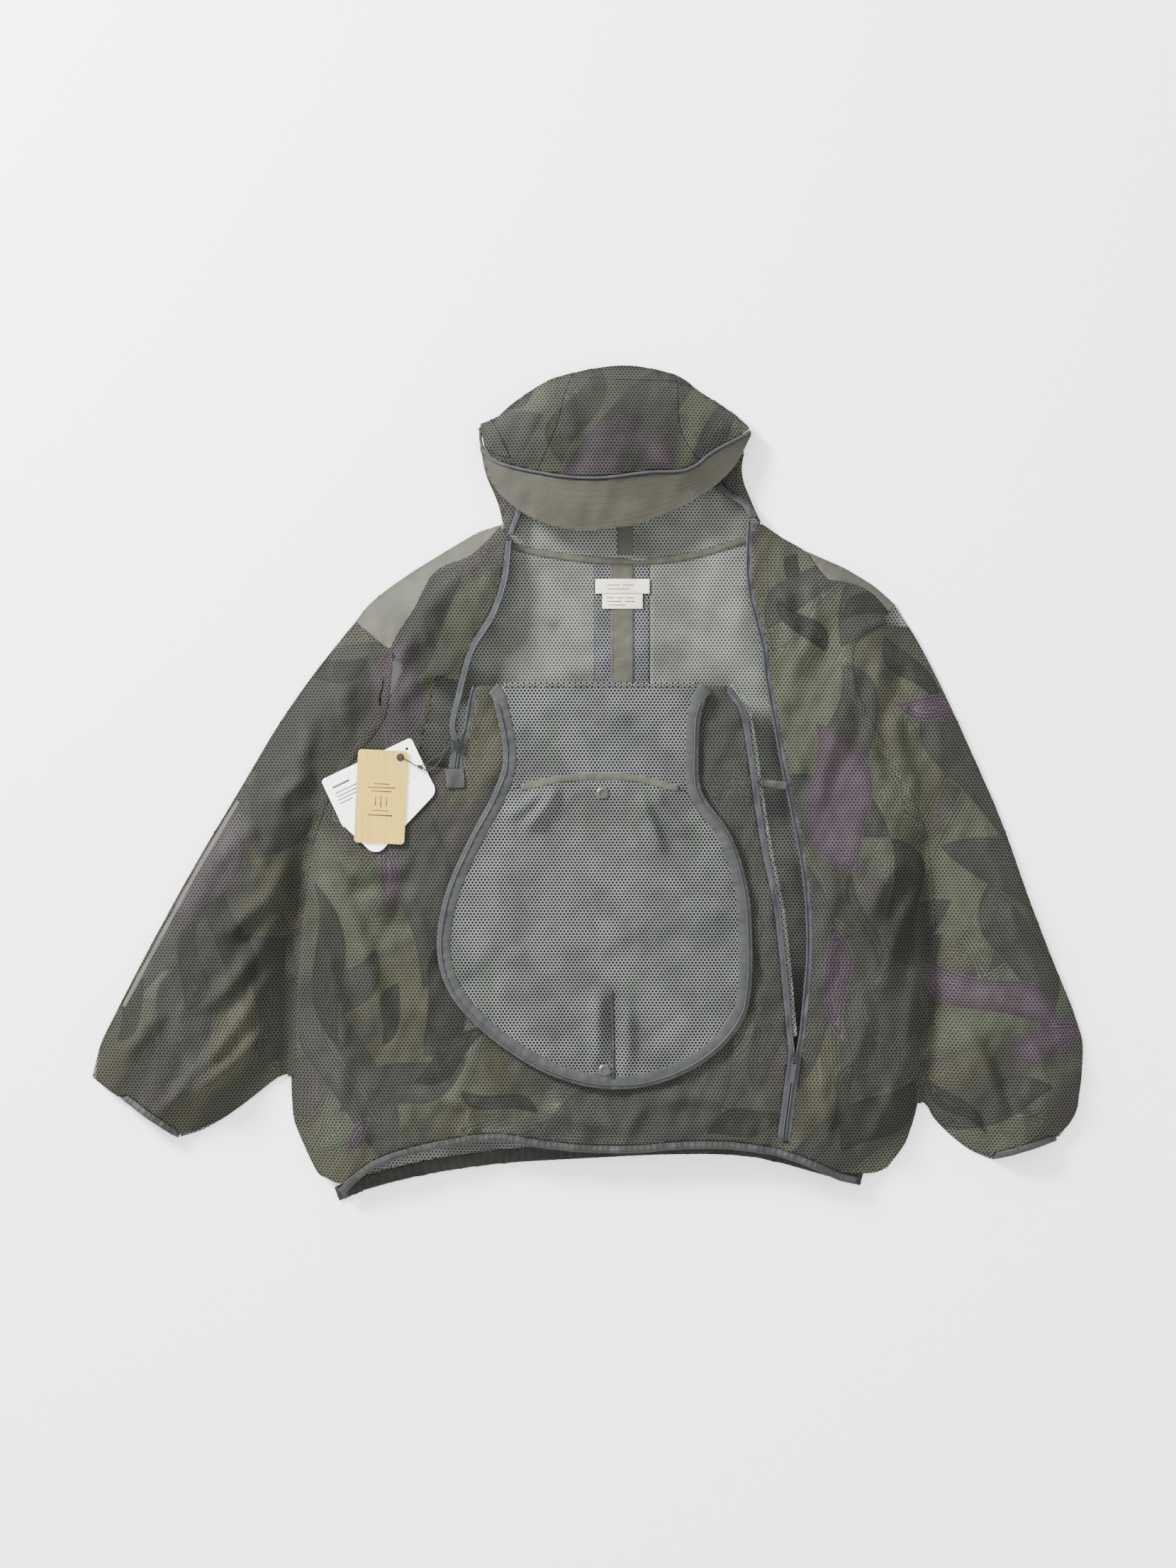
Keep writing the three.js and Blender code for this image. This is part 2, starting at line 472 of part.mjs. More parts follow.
// ---- Sleeves, each with a front, a back and a cuff that goes round the opening ----
// It is split where it folds, across from the armpit: the cap stays with the body.
function addSleeve(side, outer, inner, armhole, cuff, fold) {
  const outline = [...outer, ...backwards(inner), ...backwards(armhole).slice(1)];
  const cuffRoom = prism(strip(cuff, -30, BINDING_WIDTH + CLEARANCE));
  const cloth = cutAway(prism(outline), seamGap(armhole), seamGap(inner), cuffRoom);
  const above = prism([...fold, at(0, 1000)]);
  const below = cloth.subtract(above).subtract(seamGap(fold));
  const front = frontSheet(`${side}Sleeve`);
  const back = flat(outline);
  place(`${side}_sleeve_cap_front`, largest(front.intersect(cloth).intersect(above)), printedMesh);
  place(`${side}_sleeve_cap_back`, largest(cloth.intersect(above).intersect(back)), meshInside);
  place(`${side}_sleeve_front`, largest(front.intersect(below)), printedMesh);
  place(`${side}_sleeve_back`, largest(below.intersect(back)), meshInside);
  const band = prism(outline).intersect(prism(strip(cuff, 0, BINDING_WIDTH)));
  const ends = cuff.map((p, i) => {
    const inwards = cuff[1 - i].clone().sub(p).normalize();
    const middle = p.clone().addScaledVector(inwards, CUFF_END_INSET);
    const plan = box2(middle, CUFF_END_WIDTH, 40, Math.atan2(inwards.y, inwards.x));
    return band.intersect(prism(plan, 0, CUFF_END_HEIGHT));
  });
  const ring = [band.intersect(back), ...ends].reduce((sum, piece) => sum.add(piece), front.intersect(band));
  place(`${side}_cuff_binding`, largest(ring), zipTape);
}

// ---- The veil, folded down with its inside up ----
function addVeil() {
  const top = [new THREE.Vector2(veilEdge[0].x, FOLD_Y), new THREE.Vector2(veilEdge.at(-1).x, FOLD_Y)];
  const outline = [top[0], ...veilEdge.slice(1, -1), top[1]];
  const base = FRONT_TOP + VEIL_LIFT;
  const bindingRoom = prism(strip(veilEdge, -30, VEIL_BINDING_WIDTH + CLEARANCE));
  const cloth = cutAway(flat(outline, base), bindingRoom, seamGap(veilSeam));
  const upper = prism([...veilSeam, at(200, 0), at(200, 200), at(-200, 200), at(-200, 0)]);
  place("veil_neck_strip", largest(cloth.intersect(upper)), meshInside);
  place("face_net", largest(cloth.subtract(upper)), meshInside);
  const binding = flat(outline, base).intersect(prism(strip(veilEdge, -2, VEIL_BINDING_WIDTH)));
  place("veil_edge_binding", largest(binding), zipTape);
  const onCloth = base + CLOTH + CLEARANCE;
  const coil = strip(veilEdge.slice(1, -1), VEIL_COIL_INSET, VEIL_COIL_INSET + COIL_WIDTH);
  place("veil_edge_coil", flat(coil, onCloth, COIL_HEIGHT), zipCoil);
  const seamInside = shortened(veilSeam, VEIL_BINDING_WIDTH + 2);
  const seamTape = strip(seamInside, -SEAM_TAPE_WIDTH / 2, SEAM_TAPE_WIDTH / 2);
  place("veil_seam_tape", flat(seamTape, onCloth, TAPE_THICKNESS), nylon);
  place("veil_upper_snap", snap(UPPER_SNAP, onCloth), snapMetal);
  place("veil_lower_snap", snap(LOWER_SNAP, onCloth), snapMetal);
}

// A line without the first and last stretch of the given length.
function shortened(line, length) {
  const total = line.reduce((sum, p, i) => sum + (i ? p.distanceTo(line[i - 1]) : 0), 0);
  const from = Math.ceil((length / total) * (line.length - 1));
  return line.slice(from, line.length - from);
}

// A ring snap: a flange with a raised rim and a socket, turned about the vertical.
function snap(centre, base) {
  const r = SNAP_RADIUS;
  const flange = SNAP_FLANGE;
  const profile = [[0, 0], [r, 0], [r, flange], [r * 0.72, SNAP_HEIGHT], [r * 0.5, SNAP_HEIGHT],
    [r * 0.42, flange], [0, flange]];
  const geometry = new THREE.LatheGeometry(profile.map(([x, y]) => new THREE.Vector2(x, y)), 14);
  return solidOf(geometry.rotateX(Math.PI / 2).translate(centre.x, centre.y, base));
}

// ---- The hood ----
const bow = (along) => Math.sin(Math.PI * along) ** 0.7;
const seamHeight = (along) => HOOD_TIP_HEIGHT + (HOOD_HEIGHT - HOOD_TIP_HEIGHT) * bow(along);
const crownHeight = (x, y, along, across) => SEWN_HEIGHT
  + (seamHeight(along) - SEWN_HEIGHT) * Math.cos((Math.PI / 2) * across) ** 0.6
  + CROWN_BULGE * Math.sin(Math.PI * across) * bow(along);
const brimHeight = (x, y, along, across) => seamHeight(along) - BRIM_SLOPE * across * bow(along);

function addHood() {
  const half = PIPING_WIDTH / 2 + CLEARANCE;
  const crownShares = [0, 0.12, 0.28, 0.46, 0.64, 0.8, 0.92, 1];
  const crown = sheet(shifted(brimSeam, half), crownEdge, crownShares, crownHeight, CLOTH);
  const gaps = [seamGap(leftCrownSeam), seamGap(rightCrownSeam), seamGap(topCrownSeam)];
  const leftOf = prism([...leftCrownSeam, at(-57, 250), at(-300, 250), at(-300, 500), at(-14, 500)]);
  const rightOf = prism([...rightCrownSeam, at(128, 250), at(400, 250), at(400, 500), at(94, 500)]);
  const above = prism([at(-60, 448), ...topCrownSeam, at(150, 436), at(150, 500), at(-60, 500)]);
  place("crown_left_panel", largest(cutAway(crown.intersect(leftOf), ...gaps)), printedMesh);
  place("crown_right_panel", largest(cutAway(crown.intersect(rightOf), ...gaps)), printedMesh);
  const between = cutAway(crown, leftOf, rightOf, ...gaps);
  place("crown_top_panel", largest(between.intersect(above)), printedMesh);
  place("crown_centre_panel", largest(between.subtract(above)), printedMesh);
  place("brim", sheet(shifted(brimSeam, -half), brimEdge, [0, 0.5, 1], brimHeight, CLOTH), nylon);
  const pipingSides = [shifted(brimSeam, -PIPING_WIDTH / 2), shifted(brimSeam, PIPING_WIDTH / 2)];
  const pipingHeight = (x, y, along) => seamHeight(along) - PIPING_DROP;
  const piping = sheet(...pipingSides, [0, 1], pipingHeight, CLOTH + PIPING_DROP + PIPING_RISE);
  place("brim_piping", piping, zipTape);

  const backOutline = [...neckSeam, ...hoodRight, ...backwards(crownEdge).slice(1, -1),
    ...backwards(hoodLeft)];
  place("hood_back", cutAway(flat(backOutline), seamGap(neckSeam)), meshInside);
  const seamTape = box2(at(41, 290), HOOD_TAPE_WIDTH, at(0, 82).y, 0);
  place("hood_back_seam_tape", flat(seamTape, SEWN_HEIGHT, TAPE_THICKNESS), printedMesh);
  addHoodSide("left", hoodLeft, hoodLeftZip, 1);
  addHoodSide("right", hoodRight, hoodRightZip, -1);
}

// The strip of hood beside the face opening, from the neck to under the brim, and the zip tape on its edge.
function addHoodSide(side, outer, opening, ways) {
  const rise = (along) => THREE.MathUtils.lerp(HOOD_SIDE_LOFT, HOOD_SIDE_TIP_LOFT, along);
  const height = (x, y, along, across) => SEWN_HEIGHT + rise(along) * Math.sin((Math.PI / 2) * across);
  const clothEdge = shifted(opening, ways * (TAPE_WIDTH + CLEARANCE));
  place(`hood_${side}_side`, sheet(outer, clothEdge, [0, 0.5, 1], height, CLOTH), printedMesh);
  const edges = [shifted(opening, ways * TAPE_WIDTH), opening];
  const tapeHeight = (x, y, along) => SEWN_HEIGHT + rise(along);
  place(`hood_${side}_zip_tape`, sheet(...edges, [0, 1], tapeHeight, CLOTH), zipTape);
}

// ---- Sliders and pulls ----
// They are modelled along their own +Y, with the coil's top at zero, then turned to the zip.
const SLIDER_HALF = COIL_WIDTH + CLEARANCE + SLIDER_WALL;
const PLATE = 1.2;
const BRIDGE_HALF = 1;
const BRIDGE_WALL = 1;
const BRIDGE_ROOM = PULL_WIRE + 2 * CLEARANCE;
const block = (x0, x1, y0, y1, z0, z1) => prism(
  [[x0, y0], [x1, y0], [x1, y1], [x0, y1]].map(([x, y]) => new THREE.Vector2(x, y)), z0, z1 - z0);

function sliderBody() {
  const end = SLIDER_LENGTH / 2;
  const [low, high] = [CLEARANCE, CLEARANCE + PLATE];
  const [noseCut, noseBack, tailCut, tailBack] = [1, 2, 1.4, 3];
  const rightSide = [[SLIDER_HALF - noseCut, -end], [SLIDER_HALF, -end + noseBack],
    [SLIDER_HALF, end - tailBack], [SLIDER_HALF - tailCut, end]].map(([x, y]) => new THREE.Vector2(x, y));
  const leftSide = backwards(rightSide).map(({ x, y }) => new THREE.Vector2(-x, y));
  const plate = prism([...rightSide, ...leftSide], low, PLATE);
  const walls = [-1, 1].map((side) => {
    const [x0, x1] = [side * (SLIDER_HALF - SLIDER_WALL), side * SLIDER_HALF].sort((a, b) => a - b);
    return block(x0, x1, -end + noseBack, end - tailBack, -COIL_HEIGHT * 0.7, low + STITCHED);
  });
  const bridgeTop = high + BRIDGE_ROOM + BRIDGE_WALL;
  const [postIn, postOut] = [2.6, 4.2];
  const posts = [block(-BRIDGE_HALF, BRIDGE_HALF, -postOut, -postIn, high - STITCHED, bridgeTop),
    block(-BRIDGE_HALF, BRIDGE_HALF, postIn, postOut, high - STITCHED, bridgeTop),
    block(-BRIDGE_HALF, BRIDGE_HALF, -postOut, postOut, bridgeTop - BRIDGE_WALL, bridgeTop)];
  return [...walls, ...posts].reduce((sum, piece) => sum.add(piece), plate);
}

const PULL_HEIGHT = CLEARANCE + PLATE + CLEARANCE + PULL_WIRE / 2; // the wire's middle under the bridge

// A wire frame under the bridge with a tab beyond it, lying towards -Y.
function pull(frameLength, tabLength, tabWidth) {
  const w = PULL_WIRE;
  const inner = BRIDGE_HALF + 2 * CLEARANCE;
  const outer = inner + w;
  const [z0, z1] = [PULL_HEIGHT - w / 2, PULL_HEIGHT + w / 2];
  const near = block(-outer, outer, -w / 2, w / 2, z0, z1);
  const far = block(-outer, outer, -frameLength, -frameLength + w, z0, z1);
  const leftArm = block(-outer, -inner, -frameLength, w / 2, z0, z1);
  const rightArm = block(inner, outer, -frameLength, w / 2, z0, z1);
  const wire = near.add(far).add(leftArm).add(rightArm);
  if (!tabLength) return wire;
  const [tabFrom, tabTo] = [-frameLength - tabLength, -frameLength + w / 2];
  return wire.add(block(-tabWidth / 2, tabWidth / 2, tabFrom, tabTo, z0, z1));
}

function addSliders() {
  const sit = (solid, where, turn) =>
    solid.rotate([0, 0, THREE.MathUtils.radToDeg(turn)]).translate([where.x, where.y, COIL_TOP]);
  const facing = (top, end) => Math.atan2(top.y - end.y, top.x - end.x) - Math.PI / 2;
  const rest = (top, end) => top.clone().lerp(end, (SLIDER_LENGTH / 2 + 1) / top.distanceTo(end));
  const leftTurn = facing(leftZipTop, leftZipEnd);
  const rightTurn = facing(rightZipTop, rightZipEnd);
  const leftRest = rest(leftZipTop, leftZipEnd);
  const rightRest = rest(rightZipTop, rightZipEnd);
  place("left_zip_slider", sit(sliderBody(), leftRest, leftTurn), zipMetal);
  place("left_zip_pull", sit(pull(14, 0, 0), leftRest, leftTurn + Math.PI), blackPlastic);
  place("right_zip_slider", sit(sliderBody(), rightRest, rightTurn), zipMetal);
  place("right_zip_pull", sit(pull(8, 19, 5), rightRest, rightTurn), zipTape);
}

// ---- Hang tags ----
const EYELET = at(-202.8, 27.7);
const PLAIN_HOLE = at(-187, 5.7);
const TEXT_HOLE = at(-196, 37);

// A rectangular card with round corners, and a round hole for the cord.
function cardSolid({ centre, length, width, turn, corner, hole, holeRadius, base, thickness }) {
  const shape = new THREE.Shape();
  const [a, b] = [length / 2, width / 2];
  shape.moveTo(-a + corner, -b).lineTo(a - corner, -b);
  shape.absarc(a - corner, -b + corner, corner, -Math.PI / 2, 0);
  shape.lineTo(a, b - corner).absarc(a - corner, b - corner, corner, 0, Math.PI / 2);
  shape.lineTo(-a + corner, b).absarc(-a + corner, b - corner, corner, Math.PI / 2, Math.PI);
  shape.lineTo(-a, -b + corner).absarc(-a + corner, -b + corner, corner, Math.PI, 1.5 * Math.PI);
  const settings = { depth: thickness, bevelEnabled: false, curveSegments: 5 };
  const geometry = new THREE.ExtrudeGeometry(shape, settings);
  geometry.rotateZ(THREE.MathUtils.degToRad(turn)).translate(centre.x, centre.y, base);
  const drill = new THREE.CylinderGeometry(holeRadius, holeRadius, 20, 16).rotateX(Math.PI / 2);
  return solidOf(geometry).subtract(solidOf(drill.translate(hole.x, hole.y, base)));
}

const TEXT_BASE = FRONT_TOP + 0.6;
const PLAIN_BASE = TEXT_BASE + CARD_THICKNESS + CLEARANCE;
const WOOD_BASE = PLAIN_BASE + CARD_THICKNESS + CLEARANCE;
const WOOD_TOP = WOOD_BASE + WOOD_THICKNESS;

function addTags() {
  const card = { corner: 4, holeRadius: CARD_HOLE_RADIUS, thickness: CARD_THICKNESS };
  const textCard = cardSolid({ ...card, centre: at(-228, 0), length: TEXT_CARD[0], width: TEXT_CARD[1],
    turn: 25.4, hole: TEXT_HOLE, base: TEXT_BASE });
  place("text_card", textCard, whiteCard);
  const plainCard = cardSolid({ ...card, centre: at(-217.5, -22), length: PLAIN_CARD[0], width: PLAIN_CARD[1],
    turn: 46.7, corner: 12, hole: PLAIN_HOLE, base: PLAIN_BASE });
  place("plain_card", plainCard, whiteCard);
  const holeRadius = EYELET_RADIUS - EYELET_FLANGE;
  const wood = cardSolid({ ...card, centre: at(-223.7, -15), length: WOOD_TAG[0], width: WOOD_TAG[1],
    turn: 87.3, hole: EYELET, holeRadius, base: WOOD_BASE, thickness: WOOD_THICKNESS });
  place("wood_tag", wood, bamboo);
  const wall = holeRadius - CLEARANCE;
  const bore = wall - EYELET_WALL;
  const ring = [[bore, -WOOD_THICKNESS], [wall, -WOOD_THICKNESS], [wall, CLEARANCE],
    [EYELET_RADIUS, CLEARANCE], [EYELET_RADIUS - 0.6, EYELET_HEIGHT], [bore, EYELET_HEIGHT],
    [bore, -WOOD_THICKNESS]];
  const profile = ring.map(([x, y]) => new THREE.Vector2(x, y));
  const eyelet = new THREE.LatheGeometry(profile, 14).rotateX(Math.PI / 2);
  place("wood_tag_eyelet", solidOf(eyelet.translate(EYELET.x, EYELET.y, WOOD_TOP)), blackPlastic);
}

// The cord runs from the eyelet to its seal, round in a loop beside the left slider, and back into the seal.
function addCord() {
  const over = WOOD_TOP + EYELET_HEIGHT + CLEARANCE + CORD_DIAMETER / 2 + 0.3;
  const low = COIL_TOP + 0.6 + CORD_DIAMETER / 2;
  const seal = at(-181, 17);
  const fromEyelet = [[0, 0, over], [8, -3.5, over + 0.4]];
  const fromSeal = [[-5, 2, over], [4, 2.6, over - 0.4], [13, 9, low + 0.8], [23, 15, low], [30, 22, low],
    [32.5, 29, low], [30.5, 33.5, low + 0.3], [27.5, 30, low], [25.5, 20, low], [21.5, 8, low], [14, -1, low],
    [8, -3.5, low + 0.2], [3.6, -2.2, low + 0.6]];
  const route = [...fromEyelet.map(([x, y, z]) => new THREE.Vector3(EYELET.x + x, EYELET.y + y, z)),
    ...fromSeal.map(([x, y, z]) => new THREE.Vector3(seal.x + x, seal.y + y, z))];
  const path = new THREE.CatmullRomCurve3(route);
  const tube = (radius) => {
    const section = new THREE.Shape(new THREE.EllipseCurve(0, 0, radius, radius).getPoints(6).slice(0, -1));
    const settings = { steps: 40, extrudePath: path, bevelEnabled: false };
    return solidOf(new THREE.ExtrudeGeometry(section, settings));
  };
  place("tag_cord", tube(CORD_DIAMETER / 2), blackPlastic);
  const sealPlan = box2(seal, SEAL_LENGTH, SEAL_WIDTH, THREE.MathUtils.degToRad(-25));
  const sealBody = flat(sealPlan, WOOD_BASE, over + SEAL_OVER_CORD - WOOD_BASE);
  place("tag_cord_seal", largest(sealBody.subtract(tube(CORD_DIAMETER / 2 + 0.3))), blackPlastic);
}

addBack();
addFront();
addSleeve("left", leftSleeveOuter, leftSleeveInner, leftArmhole, leftCuff, leftSleeveFold);
addSleeve("right", rightSleeveOuter, rightSleeveInner, rightArmhole, rightCuff, rightSleeveFold);
addZips();
addVeil();
addHood();
addSliders();
addTags();
addCord();

// The origin is on the surface, under the middle of the jacket's box.
const middle = new THREE.Box3().setFromObject(jacket).getCenter(new THREE.Vector3());
jacket.position.set(-middle.x, -middle.y, 0);

export default jacket;
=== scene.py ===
"""The looks of a hooded beekeeping jacket of printed mesh that lies flat with its front up: brimmed hood,
two open front zips, face veil folded down over the chest, and hang tags. All in metres and from the frame."""
import json
import math

import bmesh
import bpy
import numpy as np
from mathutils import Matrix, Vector
from mathutils.bvhtree import BVHTree


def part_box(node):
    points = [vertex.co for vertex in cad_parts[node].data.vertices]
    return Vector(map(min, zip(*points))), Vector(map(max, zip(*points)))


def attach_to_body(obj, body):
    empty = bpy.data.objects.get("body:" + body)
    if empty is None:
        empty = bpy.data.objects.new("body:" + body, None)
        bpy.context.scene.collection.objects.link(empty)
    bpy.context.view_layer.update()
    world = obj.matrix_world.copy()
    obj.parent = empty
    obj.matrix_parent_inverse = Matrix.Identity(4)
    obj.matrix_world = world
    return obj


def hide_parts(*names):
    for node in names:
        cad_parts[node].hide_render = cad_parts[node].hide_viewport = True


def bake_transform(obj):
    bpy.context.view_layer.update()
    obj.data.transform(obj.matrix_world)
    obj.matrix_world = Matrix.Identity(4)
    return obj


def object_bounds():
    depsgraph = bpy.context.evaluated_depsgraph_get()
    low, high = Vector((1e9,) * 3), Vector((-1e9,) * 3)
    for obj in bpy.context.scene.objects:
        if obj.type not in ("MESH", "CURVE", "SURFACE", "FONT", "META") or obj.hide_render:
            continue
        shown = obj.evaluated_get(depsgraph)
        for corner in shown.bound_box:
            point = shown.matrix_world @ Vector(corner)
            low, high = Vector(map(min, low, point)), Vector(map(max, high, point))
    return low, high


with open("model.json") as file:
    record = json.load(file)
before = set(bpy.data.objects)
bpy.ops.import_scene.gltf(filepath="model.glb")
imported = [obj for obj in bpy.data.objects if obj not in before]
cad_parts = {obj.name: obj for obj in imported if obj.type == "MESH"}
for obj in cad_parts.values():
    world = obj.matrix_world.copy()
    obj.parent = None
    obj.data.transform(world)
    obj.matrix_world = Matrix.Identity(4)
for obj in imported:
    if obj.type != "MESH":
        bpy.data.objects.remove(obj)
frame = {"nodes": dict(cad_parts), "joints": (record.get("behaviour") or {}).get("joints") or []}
cad_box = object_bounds()
MM = 0.001
LABEL_IN_PLAN = np.array([38, 214.5])  # the middle of the brand label


def centre_of(node):
    low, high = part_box(node)
    return (np.array(low) + np.array(high)) / 2


OFFSET = centre_of("brand_label")[:2] - LABEL_IN_PLAN * MM  # the plan's own zero in the frame


def plan(x, y):
    """A point of the jacket's plan, in millimetres from its own zero, in the frame."""
    return np.array([x, y]) * MM + OFFSET


def plan_loop(points):
    return np.array([plan(x, y) for x, y in points])


# ---- Camera, floor and light ----
CAMERA = (0.0002, 0.0013, 4.0)
SENSOR = 36
VIEW_LENGTH = 1.703  # what the picture takes in along Y, at the jacket's level
JACKET_LEVEL = 0.02
FLOOR_SIDE = 14
FLOOR_LEVEL = -0.0006
FLOOR_PAINT = (0.94, 0.94, 0.94)
SKY = 2.3
LAMPS = (("key", (-2.3, 2.0, 1.6), 0.8, 500), ("fill", (1.9, -1.4, 2.6), 2.4, 50))  # name, place, size, power


def linked(name, data):
    """A new object in the scene."""
    made = bpy.data.objects.new(name, data)
    bpy.context.scene.collection.objects.link(made)
    return made


def make_camera():
    camera = linked("camera", bpy.data.cameras.new("camera"))
    camera.location = CAMERA
    camera.data.sensor_width = SENSOR
    camera.data.lens = SENSOR * (CAMERA[2] - JACKET_LEVEL) / VIEW_LENGTH
    camera.data.dof.use_dof = False
    bpy.context.scene.camera = camera


def make_studio():
    bpy.ops.mesh.primitive_plane_add(size=FLOOR_SIDE, location=(0, 0, FLOOR_LEVEL))
    floor = bpy.context.object
    floor.name = "floor"
    floor.data.materials.append(plain_material("floor_white", FLOOR_PAINT, 0.9))
    world = bpy.data.worlds.new("studio")
    bpy.context.scene.world = world
    world.use_nodes = True
    world.node_tree.nodes["Background"].inputs[0].default_value = (1, 1, 1, 1)
    world.node_tree.nodes["Background"].inputs[1].default_value = SKY
    for name, place, size, power in LAMPS:
        light = bpy.data.lights.new(name, "AREA")
        light.shape, light.size, light.energy = "SQUARE", size, power
        lamp = linked(name, light)
        lamp.location = place
        lamp.rotation_euler = (-Vector(place)).to_track_quat("-Z", "Y").to_euler()


# ---- Materials ----
def plain_material(name, colour, roughness, metallic=0.0):
    material = bpy.data.materials.new(name)
    material.use_nodes = True
    shader = material.node_tree.nodes["Principled BSDF"]
    shader.inputs["Base Color"].default_value = (*colour, 1)
    shader.inputs["Roughness"].default_value = roughness
    shader.inputs["Metallic"].default_value = metallic
    return material


STUDIO_GAIN = 3.3  # how much brighter than its own paint a thing looks in this light


def srgb(r, g, b):
    """The paint that looks like this display colour, 0 to 255, in the studio's light."""
    return tuple(((c / 255 + 0.055) / 1.055) ** 2.4 / STUDIO_GAIN for c in (r, g, b))


class Nodes:
    """Short calls for wiring a material's nodes."""

    def __init__(self, material):
        self.material = material
        self.tree = material.node_tree
        self.shader = self.tree.nodes["Principled BSDF"]

    def add(self, kind, **settings):
        node = self.tree.nodes.new(kind)
        for name, value in settings.items():
            setattr(node, name, value)
        return node

    def put(self, socket, value):
        if isinstance(value, bpy.types.NodeSocket):
            self.tree.links.new(value, socket)
        elif isinstance(value, tuple) and len(value) == 3 and socket.type == "RGBA":
            socket.default_value = (*value, 1)
        else:
            socket.default_value = value

    def wired(self, kind, values, **settings):
        node = self.add(kind, **settings)
        for socket, value in zip(node.inputs, values):
            self.put(socket, value)
        return node

    def math(self, operation, *values):
        return self.wired("ShaderNodeMath", values, operation=operation).outputs[0]

    def vector(self, operation, *values, out=0):
        return self.wired("ShaderNodeVectorMath", values, operation=operation).outputs[out]

    def mix(self, share, a, b):
        node = self.add("ShaderNodeMix", data_type="RGBA")
        self.put(node.inputs["Factor"], share)
        for name, colour in (("A", a), ("B", b)):
            self.put(next(s for s in node.inputs if s.name == name and s.type == "RGBA"), colour)
        return next(s for s in node.outputs if s.type == "RGBA")

    def step(self, value, low, high, out_low=0.0, out_high=1.0):
        return self.wired("ShaderNodeMapRange", (value, low, high, out_low, out_high),
                          interpolation_type="SMOOTHSTEP").outputs[0]

    def patched(self, colour, other, noise, low, high, share=1.0):
        """A colour with some of another in it where a noise is high."""
        return self.mix(self.step(noise, low, high, 0.0, share), colour, other)

    def wave(self, value, period):
        return self.math("SINE", self.math("MULTIPLY", value, 2 * math.pi / period))

    def cloth(self):
        return self.add("ShaderNodeUVMap", uv_map="cloth").outputs[0]

    def along(self, axis):
        return self.wired("ShaderNodeSeparateXYZ", (self.cloth(),)).outputs[axis]

    def place(self):
        return self.add("ShaderNodeTexCoord").outputs["Object"]

    def scaled(self, vector, sx, sy):
        node = self.add("ShaderNodeMapping")
        self.put(node.inputs["Vector"], vector)
        node.inputs["Scale"].default_value = (sx, sy, 1)
        return node.outputs[0]

    def noise(self, vector, scale, detail=3.0, rough=0.5):
        node = self.add("ShaderNodeTexNoise")
        self.put(node.inputs["Vector"], vector)
        for name, value in (("Scale", scale), ("Detail", detail), ("Roughness", rough)):
            node.inputs[name].default_value = value
        return node.outputs["Fac"]

    def attribute(self, name):
        return self.add("ShaderNodeAttribute", attribute_name=name).outputs["Fac"]

    def bump(self, height, strength, distance):
        node = self.add("ShaderNodeBump")
        node.inputs["Strength"].default_value = strength
        node.inputs["Distance"].default_value = distance
        self.put(node.inputs["Height"], height)
        self.put(self.shader.inputs["Normal"], node.outputs[0])


HOLE_PITCH = (3.9 * MM, 6.2 * MM)  # between holes along a row, and between every second row
HOLE_EDGE = 0.35  # half the width of a hole's soft edge, in millimetres


def hole_mask(n, radius):
    """0 in the holes of a knitted mesh and 1 on its threads. Rows are staggered by half a hole."""
    pitch = np.array([*HOLE_PITCH, 0]) / MM
    distances = []
    for shift in (0.0, 0.5):
        cells = (1 / HOLE_PITCH[0], 1 / HOLE_PITCH[1], 0)
        moved = n.vector("MULTIPLY_ADD", n.cloth(), cells, (shift, shift, 0))
        centred = n.vector("MULTIPLY_ADD", n.vector("FRACTION", moved), tuple(pitch), tuple(-pitch / 2))
        distances.append(n.vector("LENGTH", centred, out="Value"))
    return n.step(n.math("MINIMUM", *distances), radius - HOLE_EDGE, radius + HOLE_EDGE)


PRINT_LAYERS = (  # bottom to top: attribute, and the colours at a leaf's edge and in its middle
    ("umber", srgb(56, 53, 53), srgb(70, 66, 65)),
    ("olive", srgb(62, 63, 48), srgb(84, 85, 66)),
    ("sage", srgb(66, 74, 60), srgb(92, 100, 80)),
    ("smoke", srgb(44, 45, 46), srgb(58, 58, 59)),
    ("dark", srgb(8, 13, 12), srgb(26, 31, 29)),
    ("purple", srgb(72, 52, 72), srgb(98, 80, 97)),
)
HATCH_PERIOD = 4.2  # between a leaf's contour lines, in millimetres
LEAF_MIDDLE = 17.0  # how far from its edge a leaf has its middle colour
LEAF_EDGE = 0.8
LEAF_SHARE = 0.9  # of a leaf's own colour over what is under it
# How far the painted shade darkens the print towards black at a shade spot's middle.
PAINTED_SHADE_SHARE = 0.55


def print_colour(n, base):
    """The printed leaves: patches that change colour towards their middles, with contour lines that come and
    go, all darker under the painted shade."""
    colour = base
    where = n.step(n.noise(n.cloth(), 9.0, 1.0), 0.4, 0.6, 0.08, 0.42)
    for name, edge, middle in PRINT_LAYERS:
        reach = n.attribute(name)
        lines = n.step(n.wave(reach, HATCH_PERIOD), 0.0, 0.9)
        inner = n.patched(edge, middle, reach, 1.0, LEAF_MIDDLE)
        pale = tuple(1.9 * c + 0.02 for c in middle)
        leaf = n.mix(n.math("MULTIPLY", lines, where), inner, pale)
        colour = n.patched(colour, leaf, reach, -LEAF_EDGE, LEAF_EDGE, LEAF_SHARE)
    # Painted shade: the print is darkened towards black inside the soft shade spots.
    return n.mix(n.math("MULTIPLY", n.attribute("painted_shade"), PAINTED_SHADE_SHARE), colour, srgb(14, 14, 14))


def finished(n, colour, gloss, height, strength, distance):
    """The material of n, with its colour and gloss, and its height as bumps that deep in millimetres."""
    n.put(n.shader.inputs["Base Color"], colour)
    if gloss is not None:
        n.shader.inputs["Specular IOR Level"].default_value = gloss
    n.bump(height, strength, distance * MM)
    return n.material


